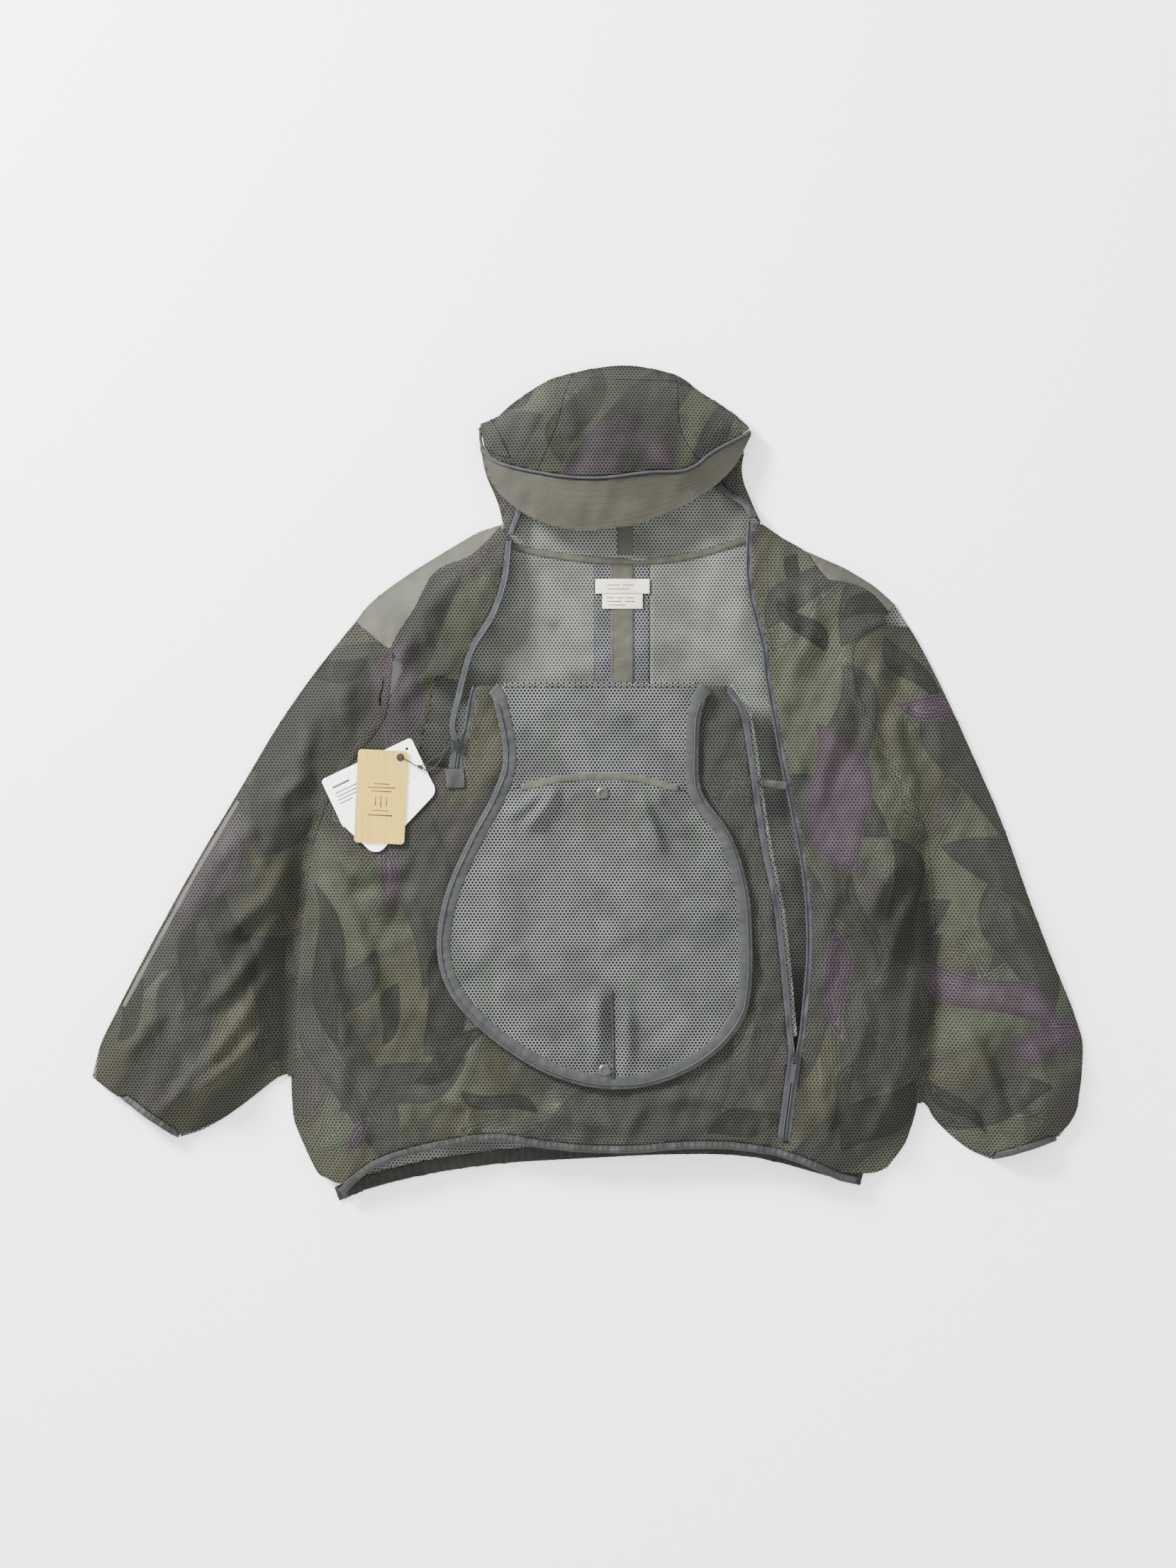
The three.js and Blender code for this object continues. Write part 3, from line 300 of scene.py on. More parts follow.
def printed_mesh():
    n = Nodes(plain_material("printed_mesh", (0.1, 0.1, 0.1), 0.86))
    colour = print_colour(n, srgb(66, 65, 60))
    colour = n.patched(colour, srgb(36, 37, 34), n.noise(n.cloth(), 26.0, 5.0, 0.7), 0.4, 0.7, 0.28)
    faded = n.noise(n.scaled(n.cloth(), 30.0, 11.0), 1.0, 4.0, 0.6)
    colour = n.patched(colour, srgb(132, 134, 118), faded, 0.52, 0.72, 0.14)
    threads = hole_mask(n, 1.06)
    # Painted shade: the holes are painted near black for the shade seen through them.
    hole_shade, thread = n.mix(0.76, colour, srgb(12, 13, 12)), n.mix(0.12, colour, srgb(160, 160, 142))
    return finished(n, n.mix(threads, hole_shade, thread), 0.12, threads, 0.55, 0.4)


def pale_mesh(name, thread, hole_shade, radius, tint):
    """The unprinted face: pale threads with stained and green stretches, darker cloudy patches of painted
    shade, holes painted dark for the shade seen through them, and the print showing faintly through."""
    n = Nodes(plain_material(name, (0.4, 0.4, 0.4), 0.88))
    pale = n.mix(tint, thread, print_colour(n, srgb(116, 116, 106)))
    # Painted shade: darker cloudy patches, scattered at random over the pale mesh.
    pale = n.patched(pale, srgb(100, 104, 98), n.noise(n.cloth(), 16.0, 3.0), 0.38, 0.64, 0.55)
    stained = n.noise(n.scaled(n.cloth(), 13.0, 22.0), 1.0, 3.0)
    pale = n.patched(pale, srgb(120, 98, 116), stained, 0.54, 0.66, 0.36)
    green = n.noise(n.scaled(n.cloth(), 24.0, 12.0), 1.0, 2.0)
    pale = n.patched(pale, srgb(116, 128, 92), green, 0.56, 0.7, 0.3)
    threads = hole_mask(n, radius)
    # Painted shade: the holes get a dark colour for the shade seen through them.
    return finished(n, n.mix(threads, hole_shade, pale), 0.15, threads, 0.6, 0.4)


def shaded(colour, gain):
    return tuple(c * gain for c in colour)


def nylon(name, colour, weave=0.5 * MM, crinkle=0.35):
    """Thin plain-woven nylon: a fine weave, faint crinkles, and uneven dye."""
    n = Nodes(plain_material(name, colour, 0.62))
    warp, weft = n.wave(n.along("X"), weave), n.wave(n.along("Y"), weave)
    woven = n.math("MULTIPLY", n.math("MULTIPLY", warp, weft), 0.12)
    creases = n.noise(n.cloth(), 130.0, 4.0, 0.62)
    shade = n.patched(shaded(colour, 0.82), shaded(colour, 1.12), n.noise(n.cloth(), 30.0, 3.0), 0.35, 0.65)
    colour = n.mix(woven, shade, shaded(colour, 0.82))
    return finished(n, colour, 0.3, n.math("ADD", woven, creases), crinkle, 1.2)


def tape_material(name, colour):
    """Ribbed woven tape: fine ribs across its run, which the second coordinate of its UV map follows."""
    n = Nodes(plain_material(name, colour, 0.8))
    ribs = n.wave(n.along("Y"), 0.9 * MM)
    shade = n.patched(shaded(colour, 0.8), shaded(colour, 1.2), n.noise(n.cloth(), 90.0, 3.0), 0.3, 0.7)
    return finished(n, n.patched(shade, shaded(colour, 0.55), ribs, -0.4, 0.9, 0.3), None, ribs, 0.35, 0.25)


def hard_material(name, colour, roughness, metallic=0.0, scratches=0.2):
    """Moulded or cast: slight mottling in colour and fine bumps."""
    n = Nodes(plain_material(name, colour, roughness, metallic))
    mottle = n.noise(n.place(), 900.0, 4.0, 0.6)
    colour = n.mix(mottle, shaded(colour, 0.8), shaded(colour, 1.25))
    return finished(n, colour, None, mottle, scratches, 0.05)


def bamboo():
    """Lacquered bamboo with its grain along the tag."""
    n = Nodes(plain_material("bamboo", (0.5, 0.35, 0.05), 0.42))
    grain = n.noise(n.scaled(n.place(), 900.0, 9.0), 1.0, 5.0, 0.6)
    strips = n.noise(n.scaled(n.place(), 130.0, 3.0), 1.0, 2.0)
    knots = n.noise(n.scaled(n.place(), 60.0, 60.0), 1.0, 2.0)
    colour = n.patched((0.50, 0.35, 0.045), (0.33, 0.215, 0.022), grain, 0.35, 0.7)
    colour = n.patched(colour, (0.42, 0.28, 0.03), strips, 0.4, 0.62, 0.5)
    colour = n.patched(colour, (0.20, 0.12, 0.015), knots, 0.66, 0.8, 0.35)
    n.shader.inputs["Coat Weight"].default_value = 0.25
    return finished(n, colour, None, grain, 0.2, 0.2)


def card_material():
    n = Nodes(plain_material("white_card", (0.9, 0.9, 0.88), 0.62))
    fibre = n.noise(n.place(), 700.0, 5.0, 0.65)
    return finished(n, n.mix(fibre, (0.86, 0.86, 0.84), (0.94, 0.94, 0.93)), None, fibre, 0.15, 0.08)


def make_materials():
    return {
        "printed_mesh": printed_mesh(),
        # The second colour of each pale mesh is the painted shade in its holes.
        "pale_mesh": pale_mesh("pale_mesh", srgb(182, 187, 178), srgb(52, 56, 50), 1.02, 0.14),
        "veil_net": pale_mesh("veil_net", srgb(182, 188, 186), srgb(16, 19, 18), 1.25, 0.34),
        "gusset": pale_mesh("gusset_mesh", srgb(166, 168, 172), srgb(40, 42, 50), 1.30, 0.05),
        "nylon": nylon("grey_nylon", srgb(100, 99, 85)),
        "brim": nylon("brim_nylon", srgb(90, 88, 71), crinkle=0.5),
        "casing": nylon("casing_nylon", srgb(62, 63, 57), crinkle=0.7),
        "binding": nylon("elastic_binding", srgb(68, 69, 69), crinkle=0.3),
        "tape": tape_material("zip_tape", srgb(66, 69, 74)),
        "veil_tape": tape_material("veil_tape", srgb(66, 70, 69)),
        "grey_tape": tape_material("seam_tape", srgb(98, 97, 80)),
        "coil": hard_material("zip_coil", srgb(58, 62, 68), 0.42),
        "metal": hard_material("slider_metal", srgb(66, 71, 76), 0.36, 0.7),
        "snap": hard_material("snap_metal", srgb(122, 122, 116), 0.4, 0.6),
        "label": nylon("label_cloth", (0.62, 0.58, 0.45), 0.4 * MM, 0.15),
        "ink": plain_material("label_ink", srgb(96, 92, 82), 0.8),
        "burnt": plain_material("burnt_mark", (0.09, 0.045, 0.012), 0.7),
        "grey_ink": plain_material("grey_ink", srgb(120, 122, 122), 0.7),
        "bamboo": bamboo(),
        "card": card_material(),
        "black": hard_material("black_plastic", srgb(28, 28, 30), 0.4),
        "cord": hard_material("black_cord", srgb(24, 24, 25), 0.75, 0.0, 0.6),
        "thread": plain_material("stitching", srgb(92, 91, 82), 0.7),
        "dark_thread": plain_material("dark_stitching", srgb(40, 42, 41), 0.7),
    }


# ---- Plan outlines from the frame ----
def plan_faces(nodes, looking=1, thicker=0.0):
    """The faces of CAD nodes that look up, or down for -1, in one bmesh. thicker keeps only those with at
    least that much solid under them."""
    bm = bmesh.new()
    for node in nodes:
        bm.from_mesh(frame["nodes"][node].data)
    bmesh.ops.remove_doubles(bm, verts=bm.verts, dist=1e-5)
    bm.normal_update()
    below = BVHTree.FromBMesh(bm) if thicker else None
    gone = [f for f in bm.faces if f.normal.z * looking < 0.03]
    if thicker:
        down = Vector((0, 0, -1))
        for face in set(bm.faces) - set(gone):
            start = face.calc_center_median() + down * 1e-5
            hit = below.ray_cast(start, down)
            if hit[0] is None or hit[3] < thicker:
                gone.append(face)
    bmesh.ops.delete(bm, geom=gone, context="FACES")
    return bm


def outline(nodes, looking=1, thicker=0.0):
    """The longest boundary loop of those faces, as plan points in order."""
    bm = plan_faces(nodes, looking, thicker)
    bm.verts.index_update()
    follow = {}
    for edge in bm.edges:
        if len(edge.link_faces) == 1:
            a, b = edge.verts
            follow.setdefault(a.index, []).append(b.index)
            follow.setdefault(b.index, []).append(a.index)
    bm.verts.ensure_lookup_table()
    places = {i: bm.verts[i].co.to_2d() for i in follow}
    loops, used = [], set()
    for start in follow:
        if start in used:
            continue
        loop, previous, here = [start], None, start
        used.add(start)
        while True:
            onward = [i for i in follow[here] if i != previous and i not in used]
            if not onward:
                break
            previous, here = here, onward[0]
            used.add(here)
            loop.append(here)
        loops.append(np.array([places[i] for i in loop]))
    bm.free()
    return max(loops, key=perimeter)


def steps_of(line):
    """The lengths of a line's segments."""
    return np.linalg.norm(np.diff(line, axis=0), axis=1)


def run_along(line):
    """How far along a line each of its points is."""
    return np.r_[0, np.cumsum(steps_of(line))]


def steps_round(loop):
    """The lengths of a closed outline's segments."""
    return np.linalg.norm(np.roll(loop, -1, 0) - loop, axis=1)


def perimeter(loop):
    return steps_round(loop).sum()


def resampled(points, count, closed=False):
    """Points evenly spaced along a line."""
    run = np.vstack([points, points[:1]]) if closed else points
    run = np.vstack([points, points[:1]]) if closed else points
    lengths = run_along(run)
    at = np.linspace(0, lengths[-1], count, endpoint=not closed)
    return np.column_stack([np.interp(at, lengths, run[:, k]) for k in range(run.shape[1])])


def in_steps(line, spacing, least=2):
    """An open line with its points about that far apart."""
    return resampled(line, max(least, int(steps_of(line).sum() / spacing) + 1))


def centre_line(loop, spacing):
    """The line along the middle of a long thin outline, and its mean width. It starts where two walks round
    the outline, one each way, stay closest to each other."""
    count = 2 * int(perimeter(loop) / 2 / max(spacing / 2, 0.8 * MM))
    ring = resampled(loop, count, closed=True)
    steps = np.arange(count // 2)

    def both_sides(start):
        return ring[(start + steps) % count], ring[(start - steps - 1) % count]

    gaps = []
    for start in range(count):
        one, other = both_sides(start)
        gaps.append(np.linalg.norm(one - other, axis=1).mean())
    one, other = both_sides(int(np.argmin(gaps)))
    return smoothed(in_steps((one + other) / 2, spacing, 3), 3), min(gaps)


HEM_LEVEL = plan(0, -424)[1]
SHARP_TURN = math.radians(33)
HEM_ROUNDING = 9 * MM


def turns(loop):
    """How sharply an outline turns at each point."""
    ahead, behind = np.roll(loop, -1, 0) - loop, loop - np.roll(loop, 1, 0)
    cross = behind[:, 0] * ahead[:, 1] - behind[:, 1] * ahead[:, 0]
    return np.abs(np.arctan2(cross, (behind * ahead).sum(1)))


def softened(loop):
    """A closed outline whose facets are rounded off, and the corners of the hem. Its other corners stay."""
    loop = loop[steps_round(loop) > 0.5 * MM]
    for corner in loop[(turns(loop) > SHARP_TURN) & (loop[:, 1] < HEM_LEVEL)]:
        loop = loop[np.linalg.norm(loop - corner, axis=1) > HEM_ROUNDING]
    corners = np.where((turns(loop) > SHARP_TURN) & (loop[:, 1] > HEM_LEVEL))[0]
    if len(corners) < 2:
        return loop
    made = []
    for first, last in zip(corners, np.roll(corners, -1)):
        count = (last - first) % len(loop) or len(loop)
        run = loop[(first + np.arange(count + 1)) % len(loop)]
        made.append(smoothed(in_steps(run, 3 * MM), 9)[:-1])
    return np.vstack(made)


def smoothed(line, passes=6):
    """An open line with its facets rounded off and its ends kept."""
    line = line.copy()
    for _ in range(passes):
        line[1:-1] = (line[:-2] + 2 * line[1:-1] + line[2:]) / 4
    return line


def closed_up(loop, neighbours, reach=10 * MM):
    """An outline whose points near a neighbour's outline are moved onto it: no gap shows at the seam."""
    loop = loop.copy()
    for node in neighbours:
        spots, far = nearest_on(loop, outline([node], -1))
        close = far < reach
        loop[close] = spots[close]
    return loop


def inside(points, loop):
    """Which plan points are inside an outline, by counting crossings."""
    x, y = points[:, :1], points[:, 1:]
    x0, y0 = loop[:, 0], loop[:, 1]
    x1, y1 = np.roll(x0, -1), np.roll(y0, -1)
    spans = (y0 > y) != (y1 > y)
    rise = np.where(np.abs(y1 - y0) < 1e-12, 1e-12, y1 - y0)
    return (spans & (x < (x1 - x0) * (y - y0) / rise + x0)).sum(1) % 2 == 1


def nearest_on(points, loop, closed=True):
    """The nearest points on a line, and the distances."""
    a = loop if closed else loop[:-1]
    b = np.roll(loop, -1, 0) if closed else loop[1:]
    along = b - a
    lengths = np.maximum((along**2).sum(1), 1e-16)
    t = np.clip(((points[:, None] - a) * along).sum(2) / lengths, 0, 1)
    spots = a + t[..., None] * along
    far = np.linalg.norm(points[:, None] - spots, axis=2)
    pick = far.argmin(1)
    rows = np.arange(len(points))
    return spots[rows, pick], far[rows, pick]


def cloth_grid(loop, step):
    """Plan points and quads that fill an outline; the outermost points lie on it."""
    low, high = loop.min(0), loop.max(0)
    xs = np.arange(math.floor(low[0] / step), math.ceil(high[0] / step) + 1) * step
    ys = np.arange(math.floor(low[1] / step), math.ceil(high[1] / step) + 1) * step
    points = np.stack(np.meshgrid(xs, ys, indexing="ij"), -1).reshape(-1, 2)
    kept = inside(points, loop)
    nx, ny = len(xs), len(ys)
    corner = np.arange(nx * ny).reshape(nx, ny)
    quads = np.stack([corner[:-1, :-1], corner[1:, :-1], corner[1:, 1:], corner[:-1, 1:]], -1).reshape(-1, 4)
    quads = quads[kept[quads].any(1)]
    used = np.unique(quads)
    renumber = np.full(nx * ny, -1)
    renumber[used] = np.arange(len(used))
    places = points[used].copy()
    outer = np.where(~kept[used])[0]
    for chunk in np.array_split(outer, max(1, len(outer) // 500)):
        places[chunk] = nearest_on(places[chunk], loop)[0]
    return places, renumber[quads]


# ---- Heights ----
FIELD_STEP = 4 * MM


class Field:
    """A height over the plan, on an even grid."""

    def __init__(self, heights, low):
        self.heights, self.low = heights, low

    def __call__(self, points):
        place = np.clip((points - self.low) / FIELD_STEP, 0, np.array(self.heights.shape) - 1.001)
        cell = place.astype(int)
        fx, fy = (place - cell).T
        i, j = cell.T
        h = self.heights
        return ((h[i, j] * (1 - fx) + h[i + 1, j] * fx) * (1 - fy)
                + (h[i, j + 1] * (1 - fx) + h[i + 1, j + 1] * fx) * fy)

    def points(self):
        i, j = np.meshgrid(*map(np.arange, self.heights.shape), indexing="ij")
        return self.low + np.stack([i, j], -1).reshape(-1, 2) * FIELD_STEP

    def flat(self):
        return self.heights.reshape(-1)

    def like(self, flat):
        """Other heights on the same grid."""
        return Field(flat.reshape(self.heights.shape), self.low)

    def raise_by(self, flat):
        self.heights = self.heights + flat.reshape(self.heights.shape)

    def press(self, target, share):
        """Moves the heights towards a target where the share is high."""
        self.raise_by((target - self.flat()) * share)


def beside(grid):
    """A grid moved one cell each way."""
    return [np.roll(grid, move, axis) for axis in (0, 1) for move in (1, -1)]


def field_of(nodes, smoothing):
    """The tops of CAD nodes as a field: gaps are filled from beside them, and facets are smoothed away."""
    bm = plan_faces(nodes)
    tree = BVHTree.FromBMesh(bm)
    low = np.array(cad_box[0])[:2] - 0.012
    high = np.array(cad_box[1])[:2] + 0.012
    shape = np.ceil((high - low) / FIELD_STEP).astype(int) + 1
    heights = np.full(shape, np.nan)
    for i, j in np.ndindex(*shape):
        above = Vector((low[0] + i * FIELD_STEP, low[1] + j * FIELD_STEP, 1))
        hit = tree.ray_cast(above, Vector((0, 0, -1)))[0]
        if hit is not None:
            heights[i, j] = hit.z
    bm.free()
    known = ~np.isnan(heights)
    for _ in range(14):  # spread outwards, so that edges keep their height
        padded = np.pad(heights, 1, constant_values=np.nan)
        around = np.stack([padded[1 + a:1 + a + shape[0], 1 + b:1 + b + shape[1]]
                           for a in (-1, 0, 1) for b in (-1, 0, 1)])
        with np.errstate(all="ignore"):
            heights = np.where(np.isnan(heights), np.nanmean(around, axis=0), heights)
    heights = np.where(np.isnan(heights), np.nanmin(heights), heights)
    inner = known & np.logical_and.reduce(beside(known))
    fixed = heights.copy()
    for _ in range(smoothing):
        heights = np.where(inner, sum(beside(heights)) / 4, fixed)
    return Field(heights, low)


def fold(points, x0, y0, x1, y1, width, height, bend=0.0):
    """One soft fold along a line of the plan, in millimetres: a ridge, or a valley for a negative height."""
    a, b = plan(x0, y0), plan(x1, y1)
    along = b - a
    length = np.linalg.norm(along)
    along = along / length
    across = np.array([-along[1], along[0]])
    rel = points - a
    t = (rel @ along) / length
    v = rel @ across - bend * MM * np.sin(math.pi * np.clip(t, 0, 1))
    ends = np.clip(np.minimum(t, 1 - t) * 3 + 0.15, 0, 1)
    ends = ends * ends * (3 - 2 * ends)
    return height * MM * ends * np.exp(-((v / (width * MM)) ** 2))


def ripple(points, seed, wavelength):
    """Smooth uneven waves from a few crossing sines, between about -1 and 1."""
    rng = np.random.default_rng(seed)
    turned = points / (wavelength * MM)
    total = 0
    for _ in range(5):
        direction = rng.uniform(0, 2 * math.pi)
        k = rng.uniform(0.7, 1.5)
        wave = turned @ np.array([math.cos(direction), math.sin(direction)]) * k
        slow = 1.3 * np.sin(2 * math.pi * wave * 0.37)
        total = total + np.sin(2 * math.pi * wave + rng.uniform(0, 6.3) + slow)
    return total / 3.2


# Folds of the front and sleeves: from, to, width, height, bend.
FRONT_FOLDS = (
    (-296, -70, -205, -150, 16, 5, 10), (-300, -95, -230, -235, 15, 5, 14),
    (-306, -130, -262, -330, 14, 5, 10), (-290, -60, -190, -95, 14, 4, 8),
    (-240, -180, -170, -330, 18, 4, -12), (-200, -230, -90, -350, 16, 3.5, 10),
    (-285, -300, -240, -400, 12, 4, 6), (-190, -340, -60, -372, 13, 3, 8),
    (-150, -335, -120, -390, 10, 3, 4), (-60, -345, 40, -372, 12, 3, -6), (60, -345, 170, -350, 12, 3, 6),
    (-262, -120, -180, -110, 12, -3, 4), (-210, 110, -160, 180, 16, 4, 8), (-225, 70, -150, 130, 14, 3, 6),
    (-190, 160, -110, 250, 15, 4, 8), (-170, -60, -165, 20, 10, 2.5, 3),
    (-200, -110, -170, -200, 14, 3, 5), (365, -70, 300, -150, 16, 5, -10),
    (372, -100, 318, -240, 15, 5, -12), (374, -140, 345, -330, 13, 5, -6), (290, 160, 262, 20, 18, 5, 8),
    (270, 130, 238, -60, 14, 4, 6), (325, 150, 312, 10, 16, 5, -10), (262, -60, 250, -250, 15, 3, 6),
    (300, -210, 270, -370, 15, 4, 8), (340, -300, 300, -400, 12, 4, 5), (205, 230, 222, 100, 13, 4, 6),
    (245, 215, 232, 130, 12, 3, 4), (246, -300, 262, -400, 10, 3, 3), (200, -60, 196, -180, 7, 2, 2),
    (-40, -380, -20, -345, 8, 2, 2), (40, -385, 60, -350, 8, 2, 2), (-318, -75, -405, -170, 15, 7, 12),
    (-322, -105, -420, -250, 15, 7, 14), (-330, -170, -440, -330, 14, 6, 12),
    (-360, -40, -440, -150, 15, 5, -10), (-345, -260, -455, -350, 12, 5, 8),
    (-400, -60, -490, -220, 13, 4, -8), (-300, 90, -330, 0, 16, 5, 8), (-270, 120, -262, 60, 14, 4, 4),
    (-270, 20, -345, -30, 14, 6, -8), (-460, -240, -515, -300, 12, 4, 6),
    (-420, -300, -480, -370, 10, 4, 5), (-380, -300, -430, -360, 10, 4, -4),
    (378, -70, 425, -170, 15, 6, -10), (384, -110, 420, -260, 15, 7, -12),
    (386, -190, 430, -350, 14, 6, -10), (420, -30, 470, -180, 15, 5, 10), (350, 120, 390, 20, 16, 6, 8),
    (330, 90, 360, -30, 14, 5, -6), (450, -120, 500, -260, 14, 5, 8), (400, -250, 450, -370, 12, 5, 6),
    (470, -260, 505, -360, 12, 5, 6), (380, -330, 430, -385, 10, 4, 5), (510, -220, 520, -330, 12, 4, 4),
    (455, -330, 480, -390, 9, 4, 3),
)
# Folds of the veil as it lies on the chest.
VEIL_FOLDS = (
    (-31, 0, -69, -52, 6, 9, 3), (-40, 2, -92, -40, 7, 6, 3), (57, -6, 85, -80, 6, 9, -3),
    (68, -4, 110, -60, 7, 6, -4), (26, -215, 28, -330, 7, -5, 0), (12, -225, 12, -318, 7, 6, -2),
    (42, -230, 42, -318, 7, 6, 2), (-60, -250, 0, -300, 12, 3, 6), (60, -300, 120, -250, 12, 3, -6),
    (-120, -90, -50, -120, 16, 3, 8), (-135, -170, -60, -190, 15, 2.5, -6),
    (80, -120, 150, -150, 15, 3, 6), (-10, -60, 20, -170, 18, -2.5, 6), (-60, 40, 60, 55, 18, 2, 6),
    (-70, 85, 90, 80, 12, 2.5, -4), (90, -170, 150, -220, 14, 2.5, 5), (-20, -160, 60, -200, 20, 2, 8),
    (-110, -230, -40, -220, 14, 2, 4),
)


FRONT_NODES = ("front_panel", "front_right_panel", "left_shoulder_yoke", "right_shoulder_yoke",
               "left_sleeve_front", "left_sleeve_cap_front", "right_sleeve_front", "right_sleeve_cap_front",
               "front_hem_binding", "left_cuff_binding", "right_cuff_binding")
FOLD_GAIN, FOLD_NARROWING = 1.8, 0.72  # of the front's folds
CLOSED_HEIGHT = 3 * MM  # where the front and back meet
LOWEST_FRONT = 1.3 * MM


def folds_of(points, folds, narrowing=1.0):
    return sum(fold(points, *ends, narrowing * width, height, bend) for *ends, width, height, bend in folds)


def ripples(points, *kinds):
    """Ripples added up: height, seed and wavelength of each."""
    return sum(height * MM * ripple(points, seed, wavelength) for height, seed, wavelength in kinds)


def front_heights():
    """The lie of the front and sleeves: the frame's loft, with folds that fade out at the closed edges."""
    base = field_of(FRONT_NODES, 9)
    points, height = base.points(), base.flat()
    free = np.clip((height - CLOSED_HEIGHT) / (height.max() - CLOSED_HEIGHT), 0, 1) ** 0.8
    folds = folds_of(points, FRONT_FOLDS, FOLD_NARROWING)
    waves = ripples(points, (2.0, 3, 70), (1.5, 4, 31), (0.6, 5, 13))
    drop = 1.5 * MM * np.exp(-(height - 2.8 * MM) / (2.5 * MM))
    return base.like(np.maximum(height - drop + free * (folds * FOLD_GAIN + waves), LOWEST_FRONT))


# ---- Meshes ----
def add_object(name, mesh, material):
    mesh.materials.append(material)
    mesh.shade_smooth()
    return linked(name, mesh)


def mesh_from(name, places, faces, uv):
    mesh = bpy.data.meshes.new(name)
    mesh.from_pydata([tuple(map(float, p)) for p in places], [], [tuple(map(int, f)) for f in faces])
    layer = mesh.uv_layers.new(name="cloth")
    corner = np.zeros(len(mesh.loops), int)
    mesh.loops.foreach_get("vertex_index", corner)
    layer.data.foreach_set("uv", np.asarray(uv, float)[corner].astype(np.float32).ravel())
    mesh.validate()
    return mesh


def give_attributes(mesh, values):
    for name, numbers in values.items():
        attribute = mesh.attributes.new(name, "FLOAT", "POINT")
        attribute.data.foreach_set("value", np.asarray(numbers, np.float32))


def thicken(piece, thickness, offset=-1):
    modifier = piece.modifiers.new("cloth", "SOLIDIFY")
    modifier.thickness = thickness
    modifier.offset = offset
    modifier.use_even_offset = False


def flat_size(points):
    """The sides of the box round plan points, turned to fit them."""
    best = None
    for angle in np.radians(np.arange(0, 90, 3)):
        c, s = math.cos(angle), math.sin(angle)
        turned = points @ np.array([[c, -s], [s, c]])
        size = turned.max(0) - turned.min(0)
        if best is None or size.prod() < best.prod():
            best = size
    return best


def surface_area(places, faces):
    a, b, c, d = (places[faces[:, k]] for k in range(4))
    halves = np.cross(b - a, c - a), np.cross(c - a, d - a)
    return sum(np.linalg.norm(half, axis=1) for half in halves).sum() / 2


STRIP_SHARE = 0.34  # a cloth that fills less of its box than this is a bent strip
NARROWEST_SHEET = 10.5 * MM  # anything narrower is a tape


def declare_sheet(places, faces, loop):
    area = surface_area(places, faces)
    size = flat_size(places[:, :2])
    if area < STRIP_SHARE * size.prod():
        size = np.array([2 * area / perimeter(loop), perimeter(loop) / 2])
    if min(size) < NARROWEST_SHEET:
        return
    grow = max(1.0, math.sqrt(area / size.prod()) * 1.001)


def attach(piece, body=None, blend=None, slot=None, nodes=()):
    if nodes:
        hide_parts(*nodes)
    if blend:
        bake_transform(piece)
    else:
        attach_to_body(piece, body)


def panel(name, nodes, material, heights, step, thickness=0.7 * MM, slot="printed_mesh", body=None,
          blend=None, painted=True, loop=None, rounded=True):
    """A cloth panel over the plan of its CAD nodes, at the given heights."""
    loop = outline(nodes, -1) if loop is None else loop
    if rounded:
        loop = softened(loop)
    plan_points, faces = cloth_grid(loop, step)
    places = np.column_stack([plan_points, heights(plan_points)])
    mesh = mesh_from(name, places, faces, plan_points)
    if painted:
        give_attributes(mesh, print_fields(plan_points))
    piece = add_object(name, mesh, material)
    thicken(piece, thickness)
    attach(piece, body, blend, slot, nodes)
    declare_sheet(places, faces, loop)
